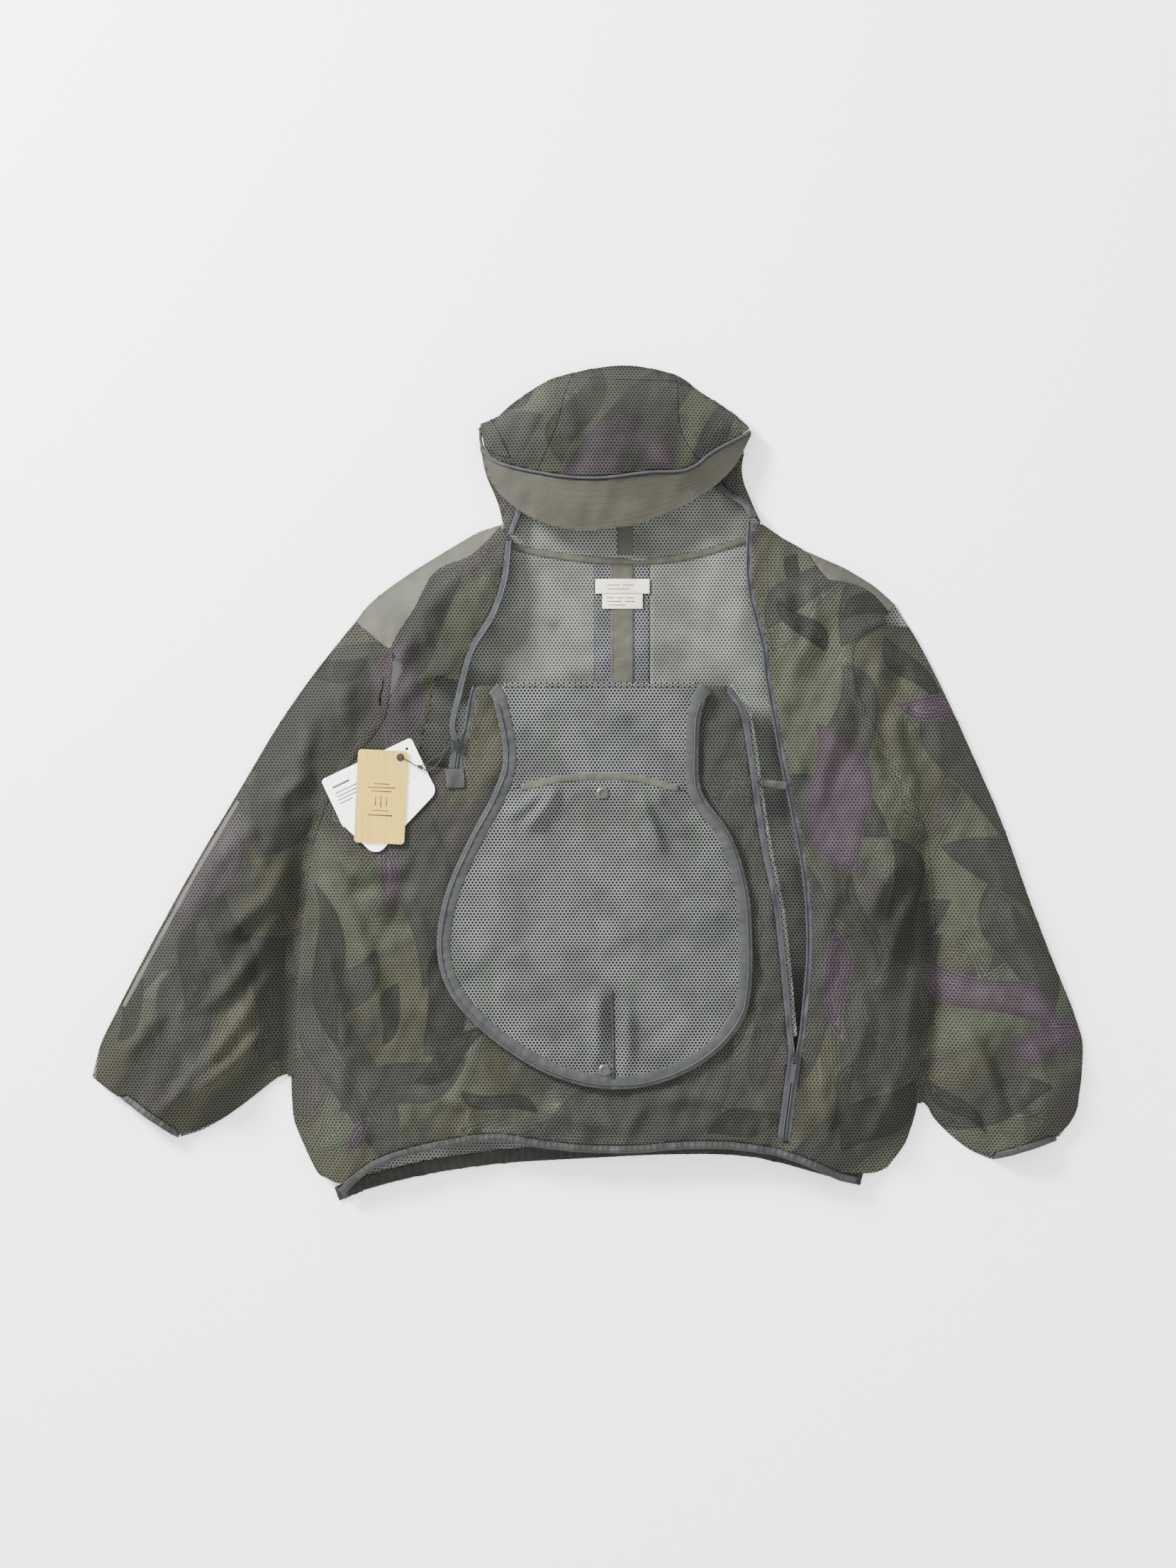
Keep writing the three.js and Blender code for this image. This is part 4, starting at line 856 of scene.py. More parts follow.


# ---- The print ----
# Leaves placed one by one, by colour: x, y, angle in degrees, half length, half width, bend.
LEAVES = {
    "dark": (
        (-296, 124, 22, 62, 15, -16), (-392, -158, 82, 78, 22, 22), (-281, -201, 105, 98, 16, -14),
        (-152, -232, 62, 70, 30, 14), (-148, -296, 30, 52, 14, 8), (-214, -251, 70, 36, 12, 6),
        (-430, -198, 75, 52, 17, 12), (-497, -247, 60, 38, 15, 8), (-96, -346, -24, 46, 11, 10),
        (172, -368, 20, 46, 15, -6), (222, 236, 58, 16, 9, 3), (316, 196, 40, 48, 13, -14),
        (344, -130, 110, 72, 24, -20), (316, -362, 52, 58, 24, -12), (276, -340, 62, 44, 10, 8),
        (232, 172, -55, 42, 13, 8), (300, -150, 96, 60, 9, 12), (352, 122, 120, 50, 14, 10),
        (402, -352, 130, 44, 11, 8), (-10, 402, 82, 62, 19, -16), (-66, 430, 36, 34, 10, 6),
        (100, 440, -20, 28, 9, 4),
    ),
    "smoke": (
        (-342, 70, 40, 70, 34, 14), (-330, -6, 64, 84, 34, 12), (-440, -262, 60, 74, 34, 12),
        (-346, -230, 66, 66, 22, 16), (-178, 170, 52, 84, 26, 10), (-176, -120, 84, 104, 36, 16),
        (-268, -226, 60, 62, 24, -16), (-200, -326, 30, 78, 22, -14), (-286, 60, 60, 40, 16, 6),
        (10, -372, -6, 70, 18, 8), (158, -52, 82, 92, 26, 10), (200, -270, 80, 70, 22, -8),
        (236, 214, 56, 66, 20, -12), (286, 66, 108, 66, 32, -18), (306, -268, 80, 74, 36, 14),
        (250, -390, 30, 56, 18, 6), (362, -220, 84, 60, 16, 6), (420, 20, 112, 100, 38, 14),
        (470, -180, 112, 80, 30, 10), (440, -350, 14, 70, 20, 8), (-88, 366, 34, 52, 20, 8),
        (142, 384, 44, 46, 18, 8), (150, 310, 66, 40, 12, 4),
    ),
    "olive": (
        (-318, 98, 24, 66, 20, -8), (-352, -120, 60, 92, 30, 14), (-380, -270, 62, 80, 26, 10),
        (-430, -352, 36, 62, 22, 8), (-238, 150, 40, 56, 18, -8), (-248, -176, 62, 94, 22, 16),
        (-190, -250, 52, 110, 40, 18), (-150, -350, 8, 82, 20, 10), (-134, 30, 80, 60, 14, 8),
        (80, -362, 12, 80, 20, -10), (186, -170, 84, 90, 18, 10), (262, 168, 74, 84, 20, -14),
        (302, 152, 50, 66, 18, 10), (334, -20, 96, 80, 22, -10), (250, -300, 76, 84, 30, 12),
        (222, -392, 14, 40, 14, 4), (380, 60, 112, 92, 36, 16), (456, -98, 112, 100, 32, -14),
        (424, -290, 24, 70, 22, 10), (470, -386, 20, 44, 14, 4), (26, 430, 20, 56, 16, -8),
        (104, 350, 20, 44, 12, 6), (-30, 344, 10, 50, 14, 6),
    ),
    "sage": (
        (-372, 22, 62, 60, 20, 10), (-476, -208, 96, 48, 26, 10), (-340, -200, 80, 60, 12, 8),
        (-278, -118, 92, 88, 36, 18), (-222, -98, 70, 92, 22, -14), (-262, -352, 44, 70, 22, 12),
        (-252, -12, 60, 40, 14, -6), (-70, -362, 6, 78, 18, 10), (166, -250, 60, 60, 14, 10),
        (206, 222, 70, 70, 18, 10), (232, 112, 66, 60, 24, 12), (288, -190, 126, 100, 30, 16),
        (250, -150, 112, 82, 15, -10), (350, 20, 104, 66, 18, -10), (410, -130, 96, 90, 22, 12),
        (492, -330, 20, 60, 22, 8), (-54, 402, 60, 56, 24, 12), (116, 372, 62, 58, 26, 10),
    ),
    "purple": (
        (-412, -92, 66, 70, 30, -12), (-206, 96, 72, 60, 26, 10), (-216, -86, 84, 44, 12, 4),
        (-248, -380, 50, 22, 9, 3), (272, -18, 112, 88, 34, -16), (270, -216, 100, 66, 16, -8),
        (386, 84, -8, 58, 13, 8), (438, -230, 142, 84, 26, 22), (500, -280, 8, 44, 20, 6),
        (14, 352, 14, 46, 26, 12), (62, 366, -52, 44, 17, 6),
    ),
    "umber": (
        (-500, -300, 48, 56, 26, -8), (-160, 100, 76, 80, 24, -10), (-290, -300, 70, 82, 30, 12),
        (-205, -384, 18, 66, 14, 6), (-290, -40, 70, 56, 22, 8), (130, -340, 30, 62, 22, 10),
        (150, 40, 86, 70, 22, 8), (226, 60, 80, 66, 18, 6), (262, -92, 128, 80, 36, 14),
        (346, -290, 84, 74, 24, 8), (392, -60, 100, 84, 30, 10), (500, -222, 128, 66, 22, -8),
        (520, -340, 80, 44, 16, 4), (66, 416, 60, 60, 30, 10), (-104, 310, 70, 40, 12, 4),
    ),
}
SCATTERED = {"umber": 48, "olive": 34, "sage": 26, "smoke": 26, "dark": 5}


def scattered_leaves():
    """More leaves strewn between the placed ones, in drifts that share a direction."""
    rng = np.random.default_rng(11)
    leaves = []
    for colour, count in SCATTERED.items():
        for _ in range(count):
            x, y = rng.uniform(-545, 545), rng.uniform(-460, 460)
            drift = 55 + 60 * math.sin(x / 170 + 0.8) * math.cos(y / 150)
            half = rng.uniform(80, 150) * (0.6 if colour == "dark" else 1)
            turn = drift + rng.normal(0, 20)
            leaves.append((colour, x, y, turn, half, half * rng.uniform(0.28, 0.42), rng.uniform(-18, 18)))
    return leaves


ALL_LEAVES = scattered_leaves() + [(colour, *leaf) for colour, leaves in LEAVES.items() for leaf in leaves]


# Painted shade: soft dark spots laid over the print, towards the sleeves, crown and chest: x, y, radius.
PAINTED_SHADE_SPOTS = ((-410, -110, 130), (-330, 60, 90), (-170, 150, 80), (20, 400, 110), (-200, 90, 60),
        (-500, -280, 70), (330, -160, 60), (-290, -200, 50))


def print_fields(points):
    """For each colour how far a point is inside a leaf, in millimetres, and how much painted shade darkens
    the print there.
    """
    mm = (points - OFFSET) / MM
    shade_spots = [np.exp(-((mm - [x, y]) ** 2).sum(1) / radius**2) for x, y, radius in PAINTED_SHADE_SPOTS]
    fields = {name: np.full(len(mm), -30.0) for name, _, _ in PRINT_LAYERS}
    for colour, x, y, angle, half, width, bend in ALL_LEAVES:
        c, s = math.cos(math.radians(angle)), math.sin(math.radians(angle))
        rel = mm - [x, y]
        u = (rel[:, 0] * c + rel[:, 1] * s) / half
        v = -rel[:, 0] * s + rel[:, 1] * c - bend * np.sin(2.6 * u)
        reach = width * (1 - u * u) * (1 + 0.2 * np.sin(3 * u + x)) - np.abs(v)
        fields[colour] = np.maximum(fields[colour], reach)
    # Painted shade: the strongest shade spot at each point.
    fields["painted_shade"] = np.max(shade_spots, axis=0)
    return fields


# ---- Strips, stitches and zip teeth ----
def side_of(line):
    """Unit vectors across a plan line, to its left."""
    along = np.gradient(line, axis=0)
    along /= np.linalg.norm(along, axis=1)[:, None]
    return np.column_stack([-along[:, 1], along[:, 0]])


def offset_line(line, distance):
    return line + side_of(line) * distance * MM


def above(heights, lift):
    """The same heights, that many millimetres up."""
    return lambda points: heights(points) + lift * MM


def row_faces(rows, length, around=True, along=False):
    """Quads between rows of points. around joins the last row to the first, along joins each row's ends."""
    faces = []
    for k in range(rows if around else rows - 1):
        for i in range(length if along else length - 1):
            m, j = (k + 1) % rows, (i + 1) % length
            faces.append((k * length + i, m * length + i, m * length + j, k * length + j))
    return faces


def solid_from(name, places, faces, uv, material):
    """An object whose faces all look outwards."""
    mesh = mesh_from(name, places, faces, uv)
    bm = bmesh.new()
    bm.from_mesh(mesh)
    bmesh.ops.recalc_face_normals(bm, faces=bm.faces)
    bm.to_mesh(mesh)
    bm.free()
    return add_object(name, mesh, material)


def sweep(name, line, heights, section, material, closed=True):
    """A strip along a plan line. section lists (across, up) from the line and its height, in millimetres."""
    across, run, n = side_of(line), run_along(line), len(line)
    rows, uv = [], []
    for a, up in section:
        spots = line + across * a * MM
        rows.append(np.column_stack([spots, heights(spots) + up * MM]))
        uv.append(np.column_stack([np.full(n, a * MM), run]))
    faces = row_faces(len(section), n, around=closed)
    if closed:
        starts = tuple(range(0, len(section) * n, n))
        faces += [starts[::-1], tuple(start + n - 1 for start in starts)]
    return solid_from(name, np.concatenate(rows), faces, np.concatenate(uv), material)


def band(width, thick, roll=0.35):
    """The section of a soft band: rounded edges and a slight crown."""
    half = [(-0.5, 0), (-0.48, thick * 0.55), (-0.4, thick * 0.92), (-0.2, thick * (1 + roll * 0.5))]
    left = [(share * width, up) for share, up in half]
    return left + [(0, thick * (1 + roll))] + [(-a, up) for a, up in left[::-1]] + [(0, -0.15)]


def small_solids(name, spots, turns, shape, faces, material):
    """Many copies of a small solid in one mesh, each turned about the vertical. Shape is in millimetres."""
    shape = np.array(shape, float) * MM
    c, s = np.cos(turns), np.sin(turns)
    x = shape[:, 0] * c[:, None] - shape[:, 1] * s[:, None]
    y = shape[:, 0] * s[:, None] + shape[:, 1] * c[:, None]
    z = np.broadcast_to(shape[:, 2], x.shape)
    places = (np.stack([x, y, z], -1) + spots[:, None]).reshape(-1, 3)
    firsts = len(shape) * np.arange(len(spots))[:, None, None]
    all_faces = (np.array(faces)[None] + firsts).reshape(-1, len(faces[0]))
    return add_object(name, mesh_from(name, places, all_faces, places[:, :2]), material)


BOX_FACES = ((0, 3, 2, 1), (4, 5, 6, 7), (0, 1, 5, 4), (1, 2, 6, 5), (2, 3, 7, 6), (3, 0, 4, 7))


def rounded_box(length, width, height, base=0.0):
    """Eight corners, narrower on top."""
    a, b, c, d = length / 2, width / 2, length * 0.36, width * 0.3
    return [(-a, -b, base), (a, -b, base), (a, b, base), (-a, b, base),
            (-c, -d, base + height), (c, -d, base + height), (c, d, base + height), (-c, d, base + height)]


def placed_along(line, heights, pitch, lift):
    """Even places along a plan line, that much above the heights, and which way the line heads at each."""
    along = resampled(line, max(2, int(steps_of(line).sum() / (pitch * MM))))
    heading = np.gradient(along, axis=0)
    return np.column_stack([along, heights(along) + lift * MM]), np.arctan2(heading[:, 1], heading[:, 0])


def stitches(name, lines, heights, material, pitch=3.0, length=2.0):
    """Rows of thread stitches along plan lines."""
    spots, headings = zip(*(placed_along(line, heights, pitch, 0.05) for line in lines))
    return small_solids(name, np.concatenate(spots), np.concatenate(headings),
                        rounded_box(length, 0.55, 0.32, -0.1), BOX_FACES, material)


TOOTH_PITCH, TOOTH_WIDTH = 1.45, 2.5


def coil_teeth(name, line, heights, material, lift):
    """The coil of one zip side: close-set rounded teeth across the line."""
    spots, headings = placed_along(line, heights, TOOTH_PITCH, lift)
    shape = rounded_box(TOOTH_WIDTH, TOOTH_PITCH * 0.72, 1.25)
    return small_solids(name, spots, headings + math.pi / 2, shape, BOX_FACES, material)


def run_where(loop, kept):
    """The run of a closed outline where kept is true."""
    start = next(i for i in range(len(loop)) if kept[i] and not kept[i - 1])
    order = (start + np.arange(len(loop))) % len(loop)
    return loop[order[kept[order]]]


def even_loop(node):
    loop = outline([node])
    return resampled(loop, int(perimeter(loop) / (2.5 * MM)), closed=True)


def joined(first, second):
    """One outline round two neighbouring pieces."""
    loops = even_loop(first), even_loop(second)
    one, two = (run_where(a, nearest_on(a, b)[1] > 1.2 * MM) for a, b in (loops, loops[::-1]))
    if np.linalg.norm(one[-1] - two[0]) > np.linalg.norm(one[-1] - two[-1]):
        two = two[::-1]
    return np.vstack([one, two])


# ---- The lie of every layer ----
def near(points, loop, reach):
    """1 inside an outline, falling smoothly to 0 at a distance outside it."""
    share = np.zeros(len(points))
    pick = np.where(((points > loop.min(0) - reach) & (points < loop.max(0) + reach)).all(1))[0]
    if len(pick):
        t = np.clip(1 - nearest_on(points[pick], loop)[1] / reach, 0, 1)
        share[pick] = np.where(inside(points[pick], loop), 1, t * t * (3 - 2 * t))
    return share


def swept(joint, node):
    """The plan of a moving node at places along its joint's range."""
    loop = outline([node])
    if joint["type"] == "slide":
        run = np.array(joint["axis"])[:2]
        return [loop + run * reach for reach in np.linspace(*joint["range_m"], 6)]
    pivot = np.array(joint["pos_m"])[:2]
    turned = []
    for angle in np.radians(np.linspace(*joint["range_deg"], 6)):
        c, s = math.cos(angle), math.sin(angle)
        turned.append((loop - pivot) @ np.array([[c, s], [-s, c]]) + pivot)
    return turned


# What lies on the front, and what slides or swings over it (joint and node). The number is how far around it
# the cloth is pressed down, in millimetres.
LYING = (("text_card", 16), ("plain_card", 16), ("wood_tag", 16), ("left_zip_slider", 24),
         ("right_zip_slider", 24), ("right_zip_pull", 14), ("tag_cord", 12))
MOVING = (("left_slider_travel", "left_zip_slider", 14), ("left_slider_travel", "left_zip_pull", 12),
          ("right_slider_travel", "right_zip_slider", 16), ("wood_tag_swing", "wood_tag", 14),
          ("text_card_swing", "text_card", 14), ("plain_card_swing", "plain_card", 14))


def lay_front(field, veil_loop):
    """What lies on the front presses it down: the veil, the tags and the sliders."""
    points = field.points()
    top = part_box("front_panel")[1][2]
    field.press(np.minimum(field.flat(), top + 0.6 * MM), near(points, veil_loop, 22 * MM))
    for node, reach in LYING:
        field.press(top - 0.4 * MM, near(points, outline([node]), reach * MM))
    joints = {joint["name"]: joint for joint in frame["joints"]}
    for joint, node, reach in MOVING:
        for loop in swept(joints[joint], node):
            field.press(np.minimum(field.flat(), top - 0.5 * MM), near(points, loop, reach * MM))


def veil_heights(front, veil_loop):
    points = front.points()
    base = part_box("face_net")[1][2]
    waves = ripples(points, (1.3, 21, 75), (0.7, 22, 26))
    field = front.like(base + 1.25 * folds_of(points, VEIL_FOLDS) + waves)
    for node in ("veil_upper_snap", "veil_lower_snap"):
        field.press(base, near(points, outline([node]), 10 * MM))
    field.heights = np.maximum(field.heights, front.heights + 1.6 * MM)
    return field


NECK_HOLE = ((-120, 110), (-100, 180), (-86, 240), (0, 240), (80, 238), (170, 240), (180, 180), (190, 110))


def back_heights(front):
    points = front.points()
    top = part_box("back_left_panel")[1][2]
    room = np.clip((front.flat() - 8 * MM) / (12 * MM), 0, 1)
    opening = near(points, plan_loop(NECK_HOLE), 18 * MM)
    waves = 1.5 * MM * (1 + ripple(points, 31, 60)) + 0.6 * MM * (1 + ripple(points, 32, 24))
    return front.like(top + waves * np.maximum(0.35 * room, opening * room))


# ---- Small makers ----
def strip_line(node, spacing=3.0):
    return centre_line(outline([node]), spacing * MM)


def ribbon(name, node, material, heights, slot, body, width=None, thick=0.8, lift=0.0, spacing=3.0, line=None,
           blend=None, gather=0.0, wavelength=7.0, roll=0.35):
    """A soft band along the middle of its CAD node's plan. Returns its middle line."""
    if line is None:
        line, measured = strip_line(node, spacing)
        line, width = smoothed(line), measured / MM
    run = run_along(line) / MM
    wave = gather * (np.sin(2 * math.pi * run / wavelength + 1.4 * np.sin(run / 23))
                     + 0.5 * np.sin(2 * math.pi * run / (wavelength * 0.61) + 1))

    def lifted(points):
        return heights(points) + (lift + wave) * MM

    attach(sweep(name, line, lifted, band(width, thick, roll), material), body, blend, slot, [node])
    return line


def zip_coil(name, line, heights, look, nodes=(), **where):
    """A zip side's core cord and, over it, its row of teeth."""
    core = sweep(name + "_core", line, heights, band(1.9, 0.9), look["coil"])
    teeth = coil_teeth(name + "_teeth", line, heights, look["coil"], 0.2)
    attach(core, slot="zip_coil", nodes=nodes, **where)
    attach(teeth, slot="zip_coil", **where)


def bevelled(node, width, material):
    """A CAD node shown with softened edges and a better finish."""
    shown = frame["nodes"][node]
    shown.data.materials.clear()
    shown.data.materials.append(material)
    modifier = shown.modifiers.new("soft_edges", "BEVEL")
    modifier.width = width * MM
    modifier.segments = 2
    modifier.limit_method = "ANGLE"
    modifier.angle_limit = math.radians(40)
    shown.data.shade_smooth()
    shown.modifiers.new("weighted", "WEIGHTED_NORMAL").keep_sharp = False


BOX_CORNERS = [(dx, dy, dz) for dz in (0, 1) for dx, dy in ((-1, -1), (1, -1), (1, 1), (-1, 1))]
MARK_HEIGHT = 0.12


def turned_boxes(name, centre, turn, boxes, heights, material):
    """Flat marks on a tag or label: (x, y, length, width) from its centre and in its turn, in millimetres."""
    c, s = math.cos(turn), math.sin(turn)
    places, faces = [], []
    for x, y, length, width in boxes:
        faces += [tuple(len(places) + k for k in face) for face in BOX_FACES]
        for dx, dy, dz in BOX_CORNERS:
            u, v = x + dx * length / 2, y + dy * width / 2
            at = centre[0] + (u * c - v * s) * MM, centre[1] + (u * s + v * c) * MM
            places.append((*at, dz * MARK_HEIGHT))
    places = np.array(places)
    places[:, 2] = heights(places[:, :2]) + (places[:, 2] - 0.02) * MM
    return add_object(name, mesh_from(name, places, faces, places[:, :2]), material)


# ---- Assembly ----
SLEEVE_BEND = 45 * MM


def fold_ends(side):
    """Where a sleeve's fold begins and ends: points either side of its hinge, across the hinge line."""
    joint = next(j for j in frame["joints"] if j["name"] == side + "_sleeve_fold")
    across = np.array([joint["axis"][1], -joint["axis"][0], 0.0])
    if across[1] < 0:
        across = -across
    place = np.array(joint["pos_m"])
    return tuple(place + across * SLEEVE_BEND), tuple(place - across * SLEEVE_BEND)


# The cuff's section: across it in half widths, and how far out of the sleeve.
CUFF_SECTION = ((-1, 0.0), (-0.9, 0.9), (-0.3, 1.0), (0.3, 1.0), (0.9, 0.9), (1, 0.0), (0.6, -0.6),
                (-0.6, -0.6))
CUFF_CLOSED = 2.2 * MM  # the front's height at the ends of the cuff
CUFF_UNDER = 0.9 * MM


def cuff_ring(side, front, look):
    """The elastic binding round the end of a sleeve, over the front, round both ends and under the back."""
    line, width = strip_line(side + "_cuff_binding", 1.5)
    count = len(line)
    order = np.arange(count)
    ease = np.clip(np.minimum(order, order[::-1]) / 5, 0, 1)
    top = CUFF_CLOSED + (front(line) - CUFF_CLOSED) * ease ** 0.5
    under = np.full(count, CUFF_UNDER)
    ring = np.vstack([np.column_stack([line, top]), np.column_stack([line[::-1], under])])
    across = side_of(line)
    across = np.vstack([across, across[::-1]])
    outward = np.r_[np.ones(count), -np.ones(count)]
    order = np.arange(2 * count)
    gathers = outward * 0.5 * MM * (1 + np.sin(order * 1.5 + 1.2 * np.sin(order * 0.31)))
    rows, uv = [], []
    for a, out in CUFF_SECTION:
        place = ring.copy()
        place[:, :2] += across * a * (width / 2)
        place[:, 2] = place[:, 2] + outward * (out * 0.9 * MM) + gathers * max(out, 0)
        rows.append(place)
        uv.append(np.column_stack([np.full(2 * count, a * (width / 2)), order * 1.5 * MM]))
    places = np.concatenate(rows)
    places[:, 2] = np.maximum(places[:, 2], 0.1 * MM)
    faces = row_faces(len(CUFF_SECTION), 2 * count, along=True)
    cuff = solid_from(side + "_cuff", places, faces, np.concatenate(uv), look["binding"])
    attach(cuff, side + "_sleeve", slot="zip_tape", nodes=[side + "_cuff_binding"])


# The outer edge of the left sleeve's front.
SLEEVE_EDGE = ((-381, -20), (-423, -90), (-452, -144), (-478, -192), (-506, -244))


def build_body(look, front, back):
    for part, kind, step in (("left", "pale_mesh", 6), ("right", "pale_mesh", 6), ("gusset", "gusset", 5)):
        node = "back_centre_gusset" if part == "gusset" else "back_" + part + "_panel"
        panel("back_" + part + "_cloth", [node], look[kind], back, step * MM, 0.8 * MM, "pale_mesh", "jacket")
    printed = look["printed_mesh"]
    panel("front_cloth", ["front_panel"], printed, front, 4 * MM, body="jacket")
    panel("front_right_cloth", ["front_right_panel"], printed, front, 4 * MM, body="jacket")
    for side in ("left", "right"):
        yoke = side + "_shoulder_yoke"
        panel(side + "_yoke_cloth", [yoke], look["nylon"], front, 3.5 * MM, slot="grey_nylon", body="jacket",
              painted=False)
        sleeve = [side + "_sleeve_cap_front", side + "_sleeve_front"]
        blend = ("jacket", side + "_sleeve", *fold_ends(side))
        body_front = "front_panel" if side == "left" else "front_right_panel"
        sleeve_loop = closed_up(joined(*sleeve), [body_front, yoke, side + "_cuff_binding"])
        panel(side + "_sleeve_cloth", sleeve, printed, front, 4 * MM, blend=blend, loop=sleeve_loop)
        under = [side + "_sleeve_cap_back", side + "_sleeve_back"]
        panel(side + "_sleeve_lining", under, look["pale_mesh"], back, 6 * MM, 0.8 * MM, "pale_mesh",
              blend=blend, loop=closed_up(joined(*under), ["back_" + side + "_panel"]))
        cuff_ring(side, front, look)
        body_loop = even_loop(body_front)
        armhole = smoothed(run_where(body_loop, nearest_on(body_loop, sleeve_loop)[1] < 3 * MM))
        seam = sweep(side + "_armhole_seam", armhole, above(front, -0.1), band(8, 0.7), printed)
        give_attributes(seam.data, print_fields(np.array([vertex.co[:2] for vertex in seam.data.vertices])))
        attach(seam, blend=blend, slot="printed_mesh")
        rows = [offset_line(armhole, across) for across in (-2.6, 2.6)]
        attach(stitches(side + "_armhole_stitching", rows, above(front, 0.6), look["dark_thread"]),
               blend=blend, slot="printed_mesh")
    edge = smoothed(resampled(plan_loop(SLEEVE_EDGE), 90), 12)
    attach(sweep("sleeve_edge_strip", edge, above(front, -0.2), band(5, 0.5), look["nylon"]), "left_sleeve",
           slot="grey_nylon")


CENTRE_TAPE_WIDTH = 25.5
# Generic rows of short bars on the labels: x, y, length.
LABEL_MARKS = {
    "brand_label": ((-10, 1.5, 14), (6, 1.5, 12), (-4, -3, 24)),
    "care_label": ((-13, 4, 8), (-3, 4, 7), (8, 4, 9), (-9, 0, 16), (8, 0, 11), (-6, -4, 20)),
}


def both_edges(line, half):
    return [offset_line(line, side * half) for side in (-1, 1)]


def build_trims(look, front, back):
    """Bindings, tapes and labels of the body."""
    hem, hem_width = strip_line("front_hem_binding", 1.6)
    hem, hem_width = hem[4:-4], hem_width / MM
    ribbon("hem_binding", "front_hem_binding", look["binding"], front, "grey_nylon", "jacket",
           line=hem, width=hem_width, thick=1.6, gather=0.5, wavelength=6.5)
    casing_loop = outline(["back_hem_casing"])
    casing_line, _ = centre_line(casing_loop, 2 * MM)

    def ruffled(points):
        run = nearest_run(points, casing_line)
        uneven = 2 * np.sin(run / (31 * MM))
        return back(points) + 1.4 * MM * (1 + np.sin(2 * math.pi * run / (9 * MM) + uneven))

    panel("back_casing", ["back_hem_casing"], look["casing"], ruffled, 2.5 * MM, 0.9 * MM, "grey_nylon",
          "jacket", painted=False, loop=casing_loop, rounded=False)
    neck = ribbon("neck_tape", "back_neck_tape", look["grey_tape"], back, "grey_nylon", "jacket", thick=1.0,
                  lift=0.3)
    centre = straight("back_centre_tape")
    ribbon("centre_tape", "back_centre_tape", look["grey_tape"], back, "grey_nylon", "jacket", thick=0.9,
           lift=0.25, line=centre, width=CENTRE_TAPE_WIDTH, roll=0.0)
    sewn = both_edges(centre, CENTRE_TAPE_WIDTH / 2 - 2) + both_edges(neck, 3.4)
    hem_rows = both_edges(hem, hem_width / 2 - 1.3)
    for name, rows, heights, thread in (("back_stitching", sewn, above(back, 1.3), "thread"),
                                        ("hem_stitching", hem_rows, above(front, 1.9), "dark_thread")):
        attach(stitches(name, rows, heights, look[thread]), "jacket", slot="grey_nylon")
    on_tape = above(back, 1.9)
    for node, rows in LABEL_MARKS.items():
        panel(node + "_cloth", [node], look["label"], on_tape, 2 * MM, 0.5 * MM, "label_cloth", "jacket",
              painted=False)
        marks = [(*row, 0.9) for row in rows]
        attach(turned_boxes(node + "_marks", centre_of(node), 0.0, marks, on_tape, look["ink"]), "jacket",
               slot="label_cloth")


def straight(node):
    low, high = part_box(node)
    x = (low[0] + high[0]) / 2
    return np.column_stack([np.full(160, x), np.linspace(low[1], high[1], 160)])


def nearest_run(points, line):
    """How far along a line each point's nearest spot is."""
    far = np.linalg.norm(points[:, None] - line[None], axis=2)
    return run_along(line)[far.argmin(1)]


def build_zips(look, front):
    for node in ("left_zip_outer", "left_zip_inner", "right_zip_outer", "right_zip_inner"):
        panel(node + "_tape", [node], look["tape"], front, 2.4 * MM, 0.8 * MM, "zip_tape", "jacket",
              painted=False)
        line, _ = centre_line(outline([node], 1, 2 * MM), 3 * MM)
        zip_coil(node, line, front, look, body="jacket")
    panel("right_facing", ["right_zip_underflap"], look["pale_mesh"], above(front, -1.8), 3 * MM,
          slot="pale_mesh", body="jacket")
    over = above(front, 1.9)
    strap = resampled(plan_loop(((188, 0), (216, -3))), 24)
    attach(sweep("right_strap", strap, over, band(9, 1.0), look["binding"]), "jacket", slot="grey_nylon")
    panel("left_patch_cloth", ["left_zip_end_patch"], look["binding"], over, 2 * MM, 0.7 * MM, "grey_nylon",
          "jacket", painted=False)


# The veil's neck edge, rolled under: across and up, in millimetres.
FOLD_SECTION = ((-5, -5.2), (-1, -5.0), (1.4, -4.3), (2.6, -2.9), (2.4, -1.3), (1.0, -0.2), (-2.5, 0.15))
DART = ((26, -226), (27, -266), (28, -320))


